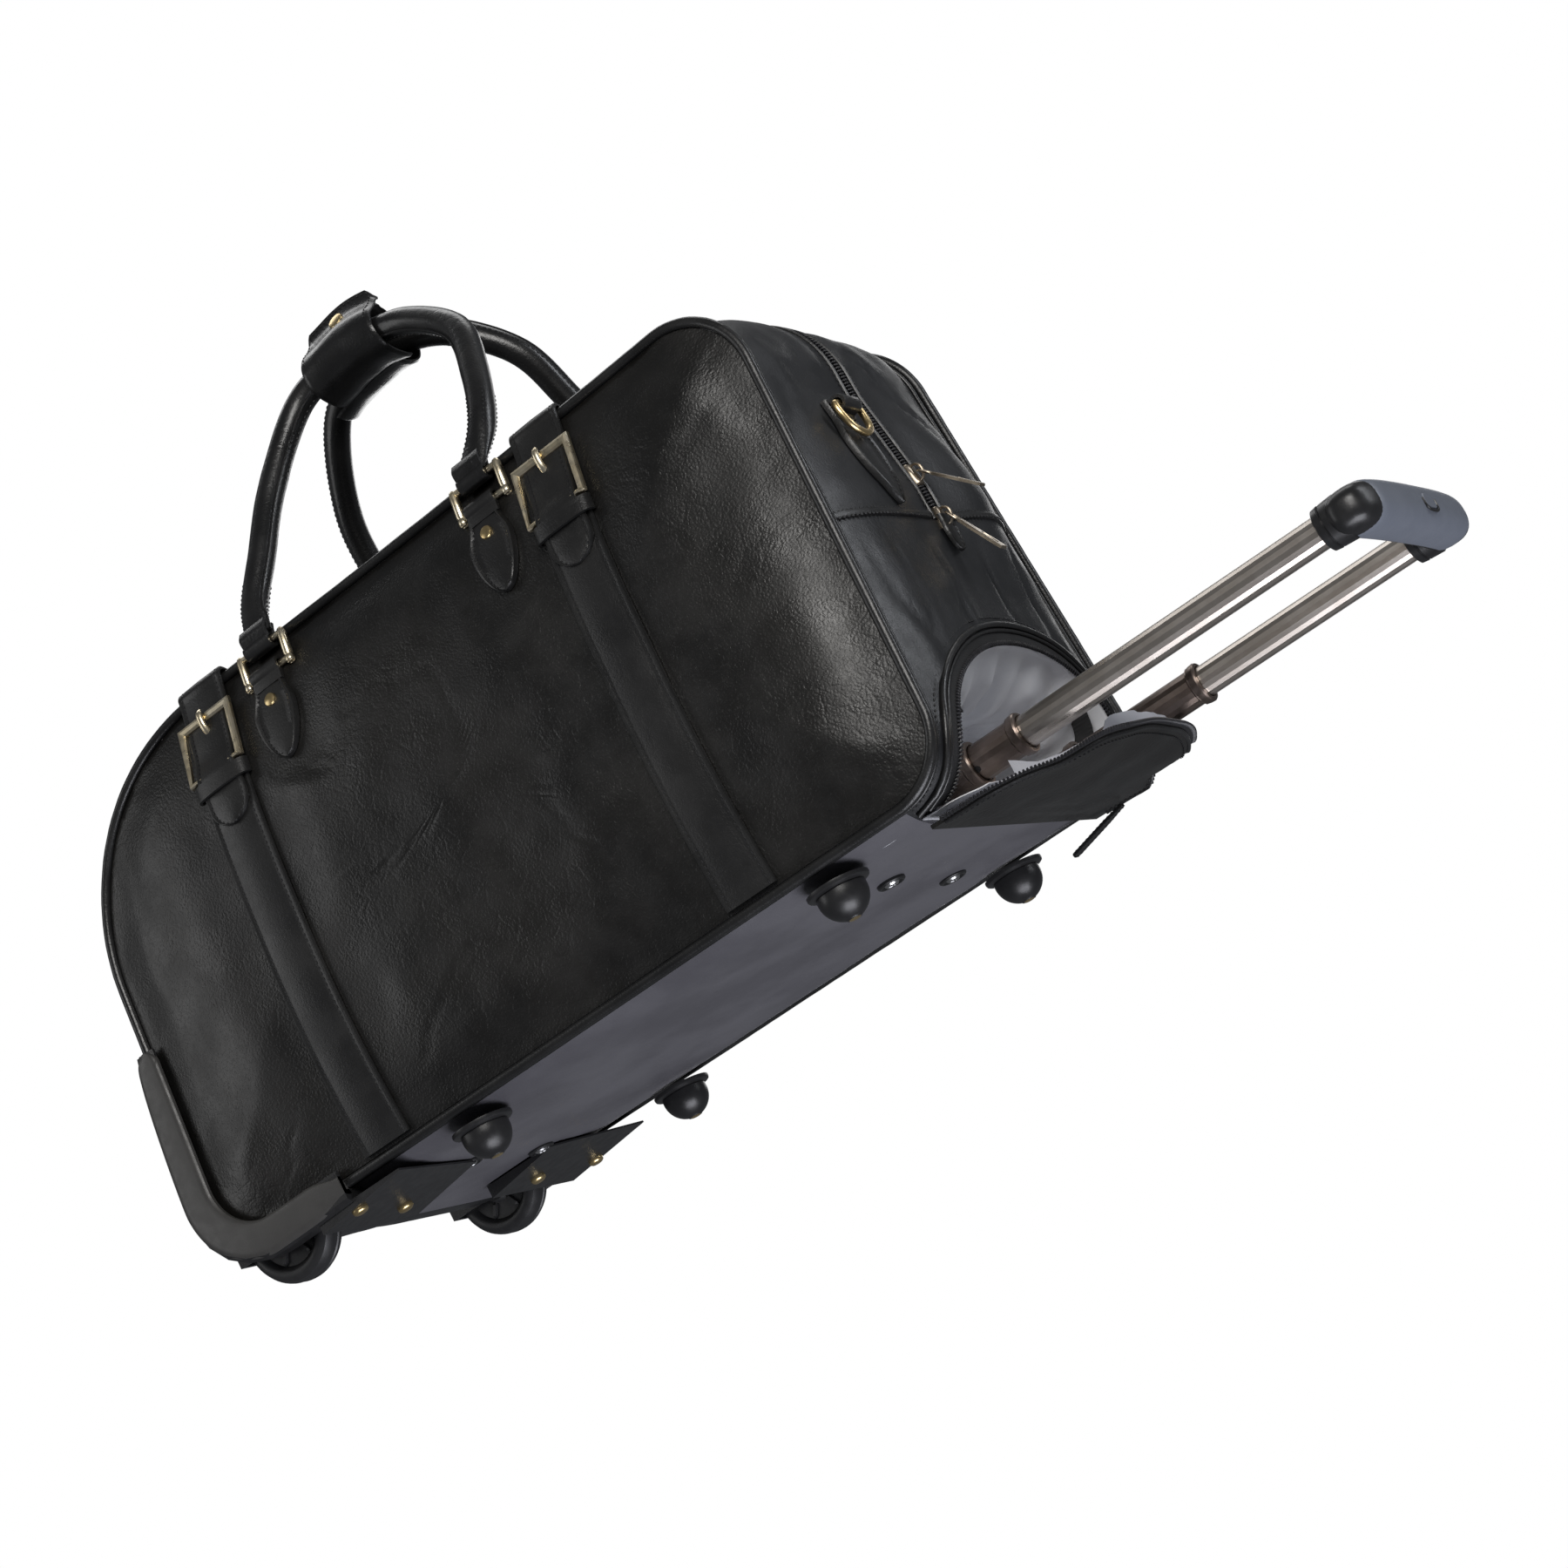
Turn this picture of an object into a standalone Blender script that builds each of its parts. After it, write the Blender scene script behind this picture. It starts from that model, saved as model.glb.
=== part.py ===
"""A leather wheeled holdall with a telescopic trolley handle.

It stands on four feet and two wheels. Z = 0 is the floor, X = 0 is the middle of the bag's
length and Y = 0 the middle of its depth. +X is the trolley-handle end and -Y is the front.
All sizes are in metres.
"""
import bpy
import bmesh
import math
from mathutils import Matrix, Vector

# ---- driving dimensions ------------------------------------------------------------------
GAP = 0.0003                 # clearance between pieces that touch
LEATHER = 0.0026             # thickness of the panels

HANDLE_END_X = 0.270         # seam at the trolley-handle end
WHEEL_END_X = -0.268         # seam at the wheel end
SEAM_LOW = 0.034             # height of the lower seams
SEAM_TOP = 0.332             # height of the upper seams
HALF_DEPTH_LOW = 0.127       # half the bag's depth at the lower seams
HALF_DEPTH_TOP = 0.097       # half the bag's depth at the upper corners
TOP_SAG = 0.008              # how far the upper seams draw in midway along the bag
END_SEAM_Z = 0.186           # level seam across each end
RADIUS_LOW_HANDLE = 0.036    # corner radii of the front and back panels
RADIUS_TOP_HANDLE = 0.042
RADIUS_TOP_WHEEL = 0.125
RADIUS_LOW_WHEEL = 0.040
CROWN_TOP = 0.012            # how far each side stands out beyond its seams
CROWN_END = 0.014
CROWN_BOTTOM = 0.013
CROWN_BACK = 0.009           # extra fullness in the back half of the handle end
PANEL_BULGE = 0.015
BULGE_REACH = 0.14           # distance from the seam at which the bulge is full
ZIP_HALF = 0.0065

PIPING_RADIUS = 0.003

STRAP_X = (-0.137, 0.138)
STRAP_WIDTH = 0.035
STRAP_THICKNESS = 0.0024
STRAP_OFF = 0.0008           # a strap's clearance over the bulging panel
BUCKLE_Z = 0.298
BUCKLE_WIDTH = 0.043
BUCKLE_HEIGHT = 0.041
BUCKLE_BAR = 0.0042
BUCKLE_THICKNESS = 0.003

TAB_X = (-0.0875, 0.0885)
TAB_TOP = 0.3136
TAB_TIP = 0.260
TAB_HALF_WIDTH = 0.0155
TAB_NECK = 0.011
TAB_THICKNESS = 0.0036

HINGE_Y = 0.1038             # carry-handle hinge line, at the rings' lower bars
HINGE_Z = 0.3165
RING_X = (-0.085, 0.091)
RING_LEAN = math.radians(12.0)
HANDLE_LEAN = math.radians(28.7)
HANDLE_RADIUS = 0.0084
HANDLE_FLAT = 0.0030         # half thickness of a handle's flattened end
HANDLE_FLARE = 0.0105        # half width of a handle's flattened end
HANDLE_SWAY = {-1: 0.005, 1: -0.009}   # how far each handle leans along X, halfway up
RING_WIDTH = 0.034
RING_HEIGHT = 0.0175
RING_RADIUS = 0.0019

D_RING_Y = -0.042
D_RING_Z = 0.262
D_RING_WIDTH = 0.028
D_RING_DROP = 0.020
D_RING_RADIUS = 0.0021
D_TAB_LENGTH = 0.071

FOOT_X = (0.175, -0.089)
FOOT_Y = 0.110
FOOT_RADIUS = 0.0146
FOOT_FLANGE = 0.0185
FOOT_FLAT = 0.0048
BOTTOM_Z = SEAM_LOW - CROWN_BOTTOM

WHEEL_X = -0.2376
WHEEL_Y = 0.109
WHEEL_RADIUS = 0.031
WHEEL_WIDTH = 0.020
AXLE_RADIUS = 0.003
WELL_WALL = 0.002

TUBE_Y = 0.069
TUBE_Z = 0.042
OUTER_TUBE = (-0.172, 0.262)
OUTER_RADIUS = 0.0119
MIDDLE_RADIUS = 0.0105
INNER_RADIUS = 0.0091
TUBE_WALL = 0.001
MIDDLE_LENGTH = 0.360
MIDDLE_END = {"near": 0.2936, "far": 0.347}
INNER_START = 0.085
SOCKET_X = 0.485
GRIP_X = 0.508
GRIP_HALF_X = 0.0145
GRIP_HALF_Z = 0.0135
GRIP_HALF_Y = 0.086
COVER_HALF_Y = 0.073
COVER_SPLIT_X = 0.4985
BUTTON_SIZE = (0.0085, 0.017, 0.010)
BUTTON_PROUD = 0.0008
BUTTON_Z = 0.0405

BOARD_Z = 0.058
BRACKET_X = (0.170, -0.155)

FLAP_HINGE_X = 0.2370
FLAP_HINGE_Z = 0.0198
FLAP_LENGTH = 0.099
FLAP_HALF_WIDTH = 0.1075
FLAP_THICKNESS = 0.003
MOUTH_HALF_WIDTH = 0.111
MOUTH_TOP = 0.113

# ---- materials ---------------------------------------------------------------------------
LOOKS = {
    "leather": ((0.012, 0.012, 0.013), 0.42, 0.0),
    "leather_trim": ((0.014, 0.014, 0.015), 0.34, 0.0),
    "zip_tape": ((0.010, 0.010, 0.011), 0.70, 0.0),
    "black_plastic": ((0.020, 0.020, 0.021), 0.45, 0.0),
    "tyre": ((0.028, 0.028, 0.030), 0.55, 0.0),
    "brass": ((0.62, 0.52, 0.34), 0.30, 1.0),
    "tube_metal": ((0.60, 0.55, 0.50), 0.28, 1.0),
    "dark_tube_metal": ((0.36, 0.31, 0.28), 0.32, 1.0),
    "steel": ((0.60, 0.60, 0.60), 0.30, 1.0),
    "grip_grey": ((0.17, 0.18, 0.22), 0.45, 0.0),
    "board": ((0.10, 0.10, 0.11), 0.80, 0.0),
}


def make_materials():
    made = {}
    for name, (color, roughness, metallic) in LOOKS.items():
        look = bpy.data.materials.new(name)
        look.use_nodes = True
        shader = look.node_tree.nodes["Principled BSDF"]
        shader.inputs["Base Color"].default_value = (*color, 1.0)
        shader.inputs["Roughness"].default_value = roughness
        shader.inputs["Metallic"].default_value = metallic
        made[name] = look
    return made


# ---- building blocks ---------------------------------------------------------------------
def add_object(name, bm, look, smooth_angle=35.0):
    """Turn a bmesh into a named object with its faces pointing out."""
    bmesh.ops.recalc_face_normals(bm, faces=bm.faces)
    bmesh.ops.triangulate(bm, faces=bm.faces)
    mesh = bpy.data.meshes.new(name)
    bm.to_mesh(mesh)
    bm.free()
    mesh.shade_smooth()
    mesh.set_sharp_from_angle(angle=math.radians(smooth_angle))
    mesh.materials.append(materials[look])
    piece = bpy.data.objects.new(name, mesh)
    bpy.context.collection.objects.link(piece)
    return piece


def set_cutter(piece):
    piece.hide_render = True
    piece.display_type = "WIRE"
    return piece


def boolean(piece, tool, operation):
    step = piece.modifiers.new(operation.lower(), "BOOLEAN")
    step.operation = operation
    step.solver = "EXACT"
    step.object = tool


def box(name, low, high, look):
    bm = bmesh.new()
    bmesh.ops.create_cube(bm, size=1.0)
    for vert in bm.verts:
        for axis in range(3):
            vert.co[axis] = high[axis] if vert.co[axis] > 0 else low[axis]
    return add_object(name, bm, look)


def sheet(name, outer, inner, look):
    """A closed sheet between two equal grids of points, joined round their borders."""
    bm = bmesh.new()
    rows = len(outer)
    columns = len(outer[0])
    top = [[bm.verts.new(point) for point in row] for row in outer]
    under = [[bm.verts.new(point) for point in row] for row in inner]
    for i in range(rows - 1):
        for j in range(columns - 1):
            bm.faces.new((top[i][j], top[i + 1][j], top[i + 1][j + 1], top[i][j + 1]))
            bm.faces.new((under[i][j], under[i][j + 1], under[i + 1][j + 1], under[i + 1][j]))
    for i in range(rows - 1):
        for j in (0, columns - 1):
            bm.faces.new((top[i][j], top[i + 1][j], under[i + 1][j], under[i][j]))
    for j in range(columns - 1):
        for i in (0, rows - 1):
            bm.faces.new((top[i][j], top[i][j + 1], under[i][j + 1], under[i][j]))
    return add_object(name, bm, look)


def swept(name, frames, section, look, closed=False):
    """Sweep a section, a list of (a, b), along frames of (origin, a axis, b axis)."""
    bm = bmesh.new()
    rings = []
    for origin, axis_a, axis_b in frames:
        rings.append([bm.verts.new(origin + axis_a * a + axis_b * b) for a, b in section])
    count = len(section)
    steps = len(rings) if closed else len(rings) - 1
    for i in range(steps):
        here = rings[i]
        after = rings[(i + 1) % len(rings)]
        for j in range(count):
            k = (j + 1) % count
            bm.faces.new((here[j], after[j], after[k], here[k]))
    if not closed:
        bm.faces.new(rings[0])
        bm.faces.new(reversed(rings[-1]))
    return add_object(name, bm, look)


def path_frames(points, side, closed=False):
    """Frames along a flat path: the a axis lies in the path's plane, the b axis is side."""
    frames = []
    count = len(points)
    for i, point in enumerate(points):
        before = points[i - 1] if closed or i > 0 else point
        after = points[(i + 1) % count] if closed or i < count - 1 else point
        along = (after - before).normalized()
        across = side.cross(along).normalized()
        turn = 1.0
        if point is not before and point is not after:
            turn = 1.0 / max(0.5, (point - before).normalized().dot(along))
        frames.append((point, across * turn, side))
    return frames


def circle(radius, sides):
    return [(radius * math.cos(2 * math.pi * i / sides), radius * math.sin(2 * math.pi * i / sides))
            for i in range(sides)]


def turned(name, profile, place, axis, sides, look, closed=False):
    """Turn a profile of (distance along the axis, radius) round an axis through place."""
    axis = Vector(axis)
    first = Vector((0, 0, 1)) if abs(axis.z) < 0.5 else Vector((1, 0, 0))
    second = axis.cross(first)
    bm = bmesh.new()
    rings = []
    for along, radius in profile:
        centre = Vector(place) + axis * along
        if radius == 0:
            rings.append([bm.verts.new(centre)])
            continue
        ring = []
        for i in range(sides):
            angle = 2 * math.pi * i / sides
            offset = first * math.cos(angle) + second * math.sin(angle)
            ring.append(bm.verts.new(centre + offset * radius))
        rings.append(ring)
    pairs = list(zip(rings, rings[1:]))
    if closed:
        pairs.append((rings[-1], rings[0]))
    for here, after in pairs:
        for i in range(sides):
            k = (i + 1) % sides
            corners = [here[i % len(here)], here[k % len(here)]]
            corners += [after[k % len(after)], after[i % len(after)]]
            corners = [c for n, c in enumerate(corners) if c not in corners[:n]]
            bm.faces.new(corners)
    return add_object(name, bm, look)


def arc(centre_a, centre_b, radius_a, radius_b, start, end, steps):
    points = []
    for i in range(steps + 1):
        angle = math.radians(start + (end - start) * i / steps)
        points.append((centre_a + radius_a * math.cos(angle), centre_b + radius_b * math.sin(angle)))
    return points


def smooth_curve(points, steps):
    """A Catmull-Rom curve through hand-chosen points."""
    padded = [points[0] * 2 - points[1]] + points + [points[-1] * 2 - points[-2]]
    curve = []
    for i in range(1, len(padded) - 2):
        a, b, c, d = padded[i - 1:i + 3]
        for k in range(steps):
            t = k / steps
            point = b * 2 + (c - a) * t + (a * 2 - b * 5 + c * 4 - d) * t * t
            curve.append((point + (b * 3 - a - c * 3 + d) * t ** 3) * 0.5)
    curve.append(points[-1])
    return curve


# ---- the bag's outline and surfaces ------------------------------------------------------
def half_depth(x, z):
    share = (z - SEAM_LOW) / (SEAM_TOP - SEAM_LOW)
    sag = TOP_SAG * max(share, 0.0) ** 12 * max(1 - (x / 0.235) ** 2, 0.0)
    return HALF_DEPTH_LOW + (HALF_DEPTH_TOP - HALF_DEPTH_LOW) * share - sag


def corner(cx, cz, radius, start, steps):
    """Outline samples on a corner arc that turns 90 degrees from start: (x, z, nx, nz)."""
    samples = []
    for i in range(steps + 1):
        angle = math.radians(start + 90.0 * i / steps)
        nx = math.cos(angle)
        nz = math.sin(angle)
        samples.append((cx + radius * nx, cz + radius * nz, nx, nz))
    return samples


def straight(start, end, steps):
    """Samples strictly between two outline samples that share a normal."""
    samples = []
    for i in range(1, steps):
        share = i / steps
        samples.append((start[0] + (end[0] - start[0]) * share,
                        start[1] + (end[1] - start[1]) * share, start[2], start[3]))
    return samples


def make_outline():
    """The seam outline, anticlockwise seen from the front, and where its stretches begin."""
    low_handle = corner(HANDLE_END_X - RADIUS_LOW_HANDLE, SEAM_LOW + RADIUS_LOW_HANDLE,
                        RADIUS_LOW_HANDLE, -90, 5)
    top_handle = corner(HANDLE_END_X - RADIUS_TOP_HANDLE, SEAM_TOP - RADIUS_TOP_HANDLE,
                        RADIUS_TOP_HANDLE, 0, 5)
    top_wheel = corner(WHEEL_END_X + RADIUS_TOP_WHEEL, SEAM_TOP - RADIUS_TOP_WHEEL,
                       RADIUS_TOP_WHEEL, 90, 8)
    low_wheel = corner(WHEEL_END_X + RADIUS_LOW_WHEEL, SEAM_LOW + RADIUS_LOW_WHEEL,
                       RADIUS_LOW_WHEEL, 180, 5)
    handle_seam = (HANDLE_END_X, END_SEAM_Z, 1.0, 0.0)
    wheel_seam = (WHEEL_END_X, END_SEAM_Z, -1.0, 0.0)
    samples = low_handle + straight(low_handle[-1], handle_seam, 4)
    marks = {"low_handle": 0, "handle_seam": len(samples)}
    samples += [handle_seam] + straight(handle_seam, top_handle[0], 4) + top_handle
    samples += straight(top_handle[-1], top_wheel[0], 7) + top_wheel
    marks["wheel_seam"] = len(samples)
    samples += [wheel_seam] + straight(wheel_seam, low_wheel[0], 3) + low_wheel
    marks["low_wheel"] = len(samples) - 1
    samples += straight(low_wheel[-1], low_handle[0], 8)
    return samples, marks


def crown(share, z, nx, nz):
    """How far the gusset stands out at a share (-1 to 1) of the depth."""
    flat = 1 - share ** 8
    top = max(nz, 0.0) ** 2 * CROWN_TOP * (1 - share ** 2)
    low = max(-nz, 0.0) ** 2 * CROWN_BOTTOM * flat
    slack = 1.0
    if nx > 0:
        slack = 1 - 0.65 * min(max((z - 0.205) / 0.070, 0.0), 1.0)
    end = nx ** 2 * CROWN_END * slack * (1 - share ** 4)
    if nx > 0 and share > 0:
        height = max(min((z - 0.120) / 0.190, 1.0), 0.0)
        end += nx ** 2 * CROWN_BACK * math.sin(math.pi * share) ** 2 * math.sin(math.pi * height) ** 2
    return top + low + end


def gusset_point(sample, share, inset=0.0):
    x, z, nx, nz = sample
    out = crown(share, z, nx, nz) - inset
    return Vector((x + nx * out, share * (half_depth(x, z) - GAP), z + nz * out))


def edge_distance(x, z):
    """Distance from a point of the front panel to its seam."""
    right = x > 0
    high = z > (SEAM_LOW + SEAM_TOP) / 2
    if high:
        radius = RADIUS_TOP_HANDLE if right else RADIUS_TOP_WHEEL
    else:
        radius = RADIUS_LOW_HANDLE if right else RADIUS_LOW_WHEEL
    dx = (HANDLE_END_X - x) if right else (x - WHEEL_END_X)
    dz = (SEAM_TOP - z) if high else (z - SEAM_LOW)
    if dx < radius and dz < radius:
        return radius - math.hypot(radius - dx, radius - dz)
    return min(dx, dz)


def panel_depth(x, z):
    """Distance of the front or back panel's inner face from the middle plane."""
    share = min(max(edge_distance(x, z), 0.0) / BULGE_REACH, 1.0)
    return half_depth(x, z) + PANEL_BULGE * (1 - (1 - share) ** 2.2)


def side_panel(name, side):
    """The front (side -1) or back (side 1) panel: rings of points from the seam to the middle."""
    middle = Vector((0.0, 0.183))
    rings = 6
    bm = bmesh.new()
    layers = []
    for thickness in (LEATHER, 0.0):
        layer = []
        for k in range(rings):
            share = (1 - k / rings) ** 0.85
            ring = []
            for x, z, _, _ in outline:
                px = middle.x + (x - middle.x) * share
                pz = middle.y + (z - middle.y) * share
                ring.append(bm.verts.new((px, side * (panel_depth(px, pz) + thickness), pz)))
            layer.append(ring)
        centre = bm.verts.new((middle.x, side * (panel_depth(*middle) + thickness), middle.y))
        layers.append((layer, centre))
    count = len(outline)
    for layer, centre in layers:
        for i in range(count):
            k = (i + 1) % count
            for here, after in zip(layer, layer[1:]):
                bm.faces.new((here[i], here[k], after[k], after[i]))
            bm.faces.new((layer[-1][i], layer[-1][k], centre))
    for i in range(count):
        k = (i + 1) % count
        bm.faces.new((layers[0][0][0][i], layers[0][0][0][k], layers[1][0][0][k], layers[1][0][0][i]))
    return add_object(name, bm, "leather")


def gusset(name, first, last, shares, look="leather", thickness=LEATHER, inset=0.0):
    """A gusset panel over the outline samples first to last and the given depth shares."""
    chosen = [outline[i % len(outline)] for i in range(first, last + 1)]
    for end, step in ((0, 1), (-1, -1)):
        x, z, nx, nz = chosen[end]
        chosen[end] = (x - nz * GAP * step * 0.6, z + nx * GAP * step * 0.6, nx, nz)
    outer = [[gusset_point(sample, share, inset) for share in shares] for sample in chosen]
    inner = [[gusset_point(sample, share, inset + thickness) for share in shares] for sample in chosen]
    return sheet(name, outer, inner, look)


def spread(start, end, steps):
    return [start + (end - start) * i / steps for i in range(steps + 1)]


def make_panels():
    side_panel("front_panel", -1)
    side_panel("back_panel", 1)
    zip_share = (ZIP_HALF + GAP) / HALF_DEPTH_TOP
    seam_a = marks["handle_seam"]
    seam_b = marks["wheel_seam"]
    gusset("top_panel_front", seam_a, seam_b, spread(-1.0, -zip_share, 5))
    gusset("top_panel_back", seam_a, seam_b, spread(zip_share, 1.0, 5))
    tape = (ZIP_HALF - GAP) / HALF_DEPTH_LOW * 0.95
    gusset("main_zip", seam_a, seam_b, [-tape, 0.0, tape], "zip_tape", 0.0016)
    handle_end = gusset("end_panel_handle", marks["low_handle"], seam_a, spread(-1.0, 1.0, 10))
    boolean(handle_end, mouth_cutter(), "DIFFERENCE")
    wheel_end = gusset("end_panel_wheel", seam_b, marks["low_wheel"], spread(-1.0, 1.0, 8))
    bottom = gusset("bottom_panel", marks["low_wheel"], len(outline), spread(-1.0, 1.0, 10))
    for side in (-1, 1):
        well = well_cutter(side)
        boolean(wheel_end, well, "DIFFERENCE")
        boolean(bottom, well, "DIFFERENCE")


def mouth_cutter():
    """The arched mouth of the trolley pocket, cut through the lower end panel."""
    section = [(MOUTH_HALF_WIDTH, -0.02), (MOUTH_HALF_WIDTH, 0.046)]
    rise = MOUTH_TOP - 0.046
    section += arc(0, 0.046, MOUTH_HALF_WIDTH, rise, 0, 180, 16)[1:-1]
    section += [(-MOUTH_HALF_WIDTH, 0.046), (-MOUTH_HALF_WIDTH, -0.02)]
    bm = bmesh.new()
    near = [bm.verts.new((0.20, y, z)) for y, z in section]
    far = [bm.verts.new((0.32, y, z)) for y, z in section]
    bm.faces.new(near)
    bm.faces.new(reversed(far))
    for i in range(len(section)):
        k = (i + 1) % len(section)
        bm.faces.new((near[i], far[i], far[k], near[k]))
    return set_cutter(add_object("mouth_cutter", bm, "leather"))


def make_piping():
    for name, side in (("piping_front", -1), ("piping_back", 1)):
        out = PIPING_RADIUS + GAP * 1.5
        frames = []
        for i, (x, z, nx, nz) in enumerate(outline):
            depth = half_depth(x, z) + LEATHER
            origin = Vector((x + nx * out, side * depth, z + nz * out))
            frames.append((origin, Vector((nx, 0, nz)), Vector((0, side, 0))))
        swept(name, frames, circle(PIPING_RADIUS, 6), "leather_trim", closed=True)


# ---- straps, buckles, tabs ---------------------------------------------------------------
def strap_path(x):
    """The strap's inner face at one X: (distance from the middle plane, height, out axis)."""
    points = []
    low = SEAM_LOW + 0.008
    high = SEAM_TOP - 0.010
    edges = (x - STRAP_WIDTH / 2, x, x + STRAP_WIDTH / 2)
    for z in spread(low, high, 15):
        depth = max(panel_depth(edge, z) for edge in edges) + LEATHER + STRAP_OFF
        points.append((depth, z))
    top_depth = max(half_depth(edge, SEAM_TOP) for edge in edges) + LEATHER
    over = PIPING_RADIUS * 2 + GAP * 4
    points.append((top_depth + 0.0040, SEAM_TOP + 0.0015))
    points.append((top_depth + 0.0030, SEAM_TOP + over - 0.0012))
    points.append((top_depth - 0.0015, SEAM_TOP + over + 0.0012))
    for depth in spread(top_depth - 0.012, 0.022, 5):
        share = depth / (top_depth - LEATHER)
        points.append((depth, SEAM_TOP + CROWN_TOP * (1 - share ** 2) + STRAP_OFF + 0.0002))
    return points


def strap(name, x, side):
    inner = strap_path(x)
    outer = []
    for i, (depth, z) in enumerate(inner):
        before = inner[max(i - 1, 0)]
        after = inner[min(i + 1, len(inner) - 1)]
        along = Vector((after[0] - before[0], after[1] - before[1])).normalized()
        outer.append((depth + along.y * STRAP_THICKNESS, z - along.x * STRAP_THICKNESS))
    edges = (x - STRAP_WIDTH / 2, x + STRAP_WIDTH / 2)
    rows_out = [[Vector((edge, side * depth, z)) for edge in edges] for depth, z in outer]
    rows_in = [[Vector((edge, side * depth, z)) for edge in edges] for depth, z in inner]
    return sheet(name, rows_out, rows_in, "leather_trim")


def panel_frame(x, z, side, lift):
    """A point over the front or back panel, with its up and out directions."""
    step = 0.004
    here = panel_depth(x, z) + LEATHER
    slope = (panel_depth(x, z + step) - panel_depth(x, z - step)) / (2 * step)
    up = Vector((0, side * slope, 1)).normalized()
    out = Vector((0, side, -slope)).normalized()
    return Vector((x, side * here, z)) + out * lift, up, out


def buckle(name, x, side):
    lift = STRAP_OFF + STRAP_THICKNESS + 0.0010 + BUCKLE_THICKNESS / 2
    centre, up, out = panel_frame(x, BUCKLE_Z, side, lift)
    right = Vector((1, 0, 0))
    half_w = (BUCKLE_WIDTH - BUCKLE_BAR) / 2
    half_h = (BUCKLE_HEIGHT - BUCKLE_BAR) / 2
    frames = []
    for a, b in ((-1, -1), (1, -1), (1, 1), (-1, 1)):
        origin = centre + right * (a * half_w) + up * (b * half_h)
        frames.append((origin, right * a + up * b, out))
    half = BUCKLE_BAR / 2
    thick = BUCKLE_THICKNESS / 2
    section = [(-half, -thick), (half, -thick), (half, thick * 0.4), (half * 0.6, thick)]
    section += [(-half * 0.6, thick), (-half, thick * 0.4)]
    return swept(name, frames, section, "brass", closed=True)


def leaf(width, neck, length, steps):
    """Half-widths down a leather tab: a neck, then a leaf that ends in a rounded tip."""
    rows = [(0.0, neck), (length * 0.16, neck), (length * 0.26, width * 0.93)]
    for i in range(steps + 1):
        angle = math.radians(90 * i / steps)
        share = 0.42 + 0.58 * math.sin(angle)
        rows.append((length * share, width * max(math.cos(angle), 0.12)))
    return rows


def handle_tab(name, x, side):
    outer = []
    inner = []
    length = TAB_TOP - TAB_TIP
    for down, half in leaf(TAB_HALF_WIDTH, TAB_NECK, length, 5):
        z = TAB_TOP - down
        row_out = []
        row_in = []
        for across in (-half, 0.0, half):
            point, _, out = panel_frame(x + across, z, side, 0.0007)
            row_in.append(point)
            row_out.append(point + out * TAB_THICKNESS)
        outer.append(row_out)
        inner.append(row_in)
    return sheet(name, outer, inner, "leather_trim")


def d_ring_tab(name, end, side_y):
    """The leaf-shaped tab that holds a D-ring on one end of the bag."""
    outer = []
    inner = []
    top = D_RING_Z + 0.002
    for down, half in leaf(0.0145, 0.0105, D_TAB_LENGTH, 5):
        z = top - down
        row_out = []
        row_in = []
        for across in (-half, 0.0, half):
            y = side_y + across
            reach = end_reach(end, y, z) + 0.0006
            row_in.append(Vector((end * reach, y, z)))
            row_out.append(Vector((end * (reach + 0.0034), y, z)))
        outer.append(row_out)
        inner.append(row_in)
    return sheet(name, outer, inner, "leather_trim")


def end_reach(end, y, z):
    """How far an end of the bag reaches along X at a given Y and Z on its flat or rounded part."""
    if end > 0:
        seam = HANDLE_END_X
        radius = RADIUS_TOP_HANDLE
    else:
        seam = -WHEEL_END_X
        radius = RADIUS_TOP_WHEEL
    share = max(min(y / half_depth(end * seam, z), 1.0), -1.0)
    above = z - (SEAM_TOP - radius)
    if above <= 0:
        return seam + crown(share, z, end, 0.0)
    nz = min(above / (radius + CROWN_END * 0.8), 1.0)
    nx = math.sqrt(1 - nz * nz)
    reach = radius + crown(share, z, end * nx, nz)
    return seam - radius + reach * math.sqrt(max(1 - (above / reach) ** 2, 0.0))


def d_ring_place(end, side_y):
    """The middle of a D-ring's top bar, and the angle at which the ring lies along the bag."""
    lift = 0.0042 + D_RING_RADIUS + 0.0016
    top = D_RING_Z - 0.004
    reach = end_reach(end, side_y, top)
    fall = math.atan2(end_reach(end, side_y, top - D_RING_DROP) - reach, D_RING_DROP)
    return Vector((end * (reach + lift / math.cos(fall)), side_y, top)), fall


def d_ring_pivot(end, side_y):
    return d_ring_place(end, side_y)[0]


def d_ring(name, end, side_y):
    half = D_RING_WIDTH / 2
    flat = [(-half, 0.0), (half, 0.0)]
    flat += [(half, -0.005)]
    flat += [(half * math.cos(math.radians(a)), -0.005 - (D_RING_DROP - 0.005) * math.sin(math.radians(a)))
             for a in (25, 50, 75, 105, 130, 155)]
    flat += [(-half, -0.005)]
    place, fall = d_ring_place(end, side_y)
    points = []
    for across, down in flat:
        points.append(place + Vector((-end * down * math.tan(fall), across, down)))
    side = Vector((end * math.cos(fall), 0, math.sin(fall)))
    return swept(name, path_frames(points, side, closed=True), circle(D_RING_RADIUS, 6), "brass", closed=True)


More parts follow.
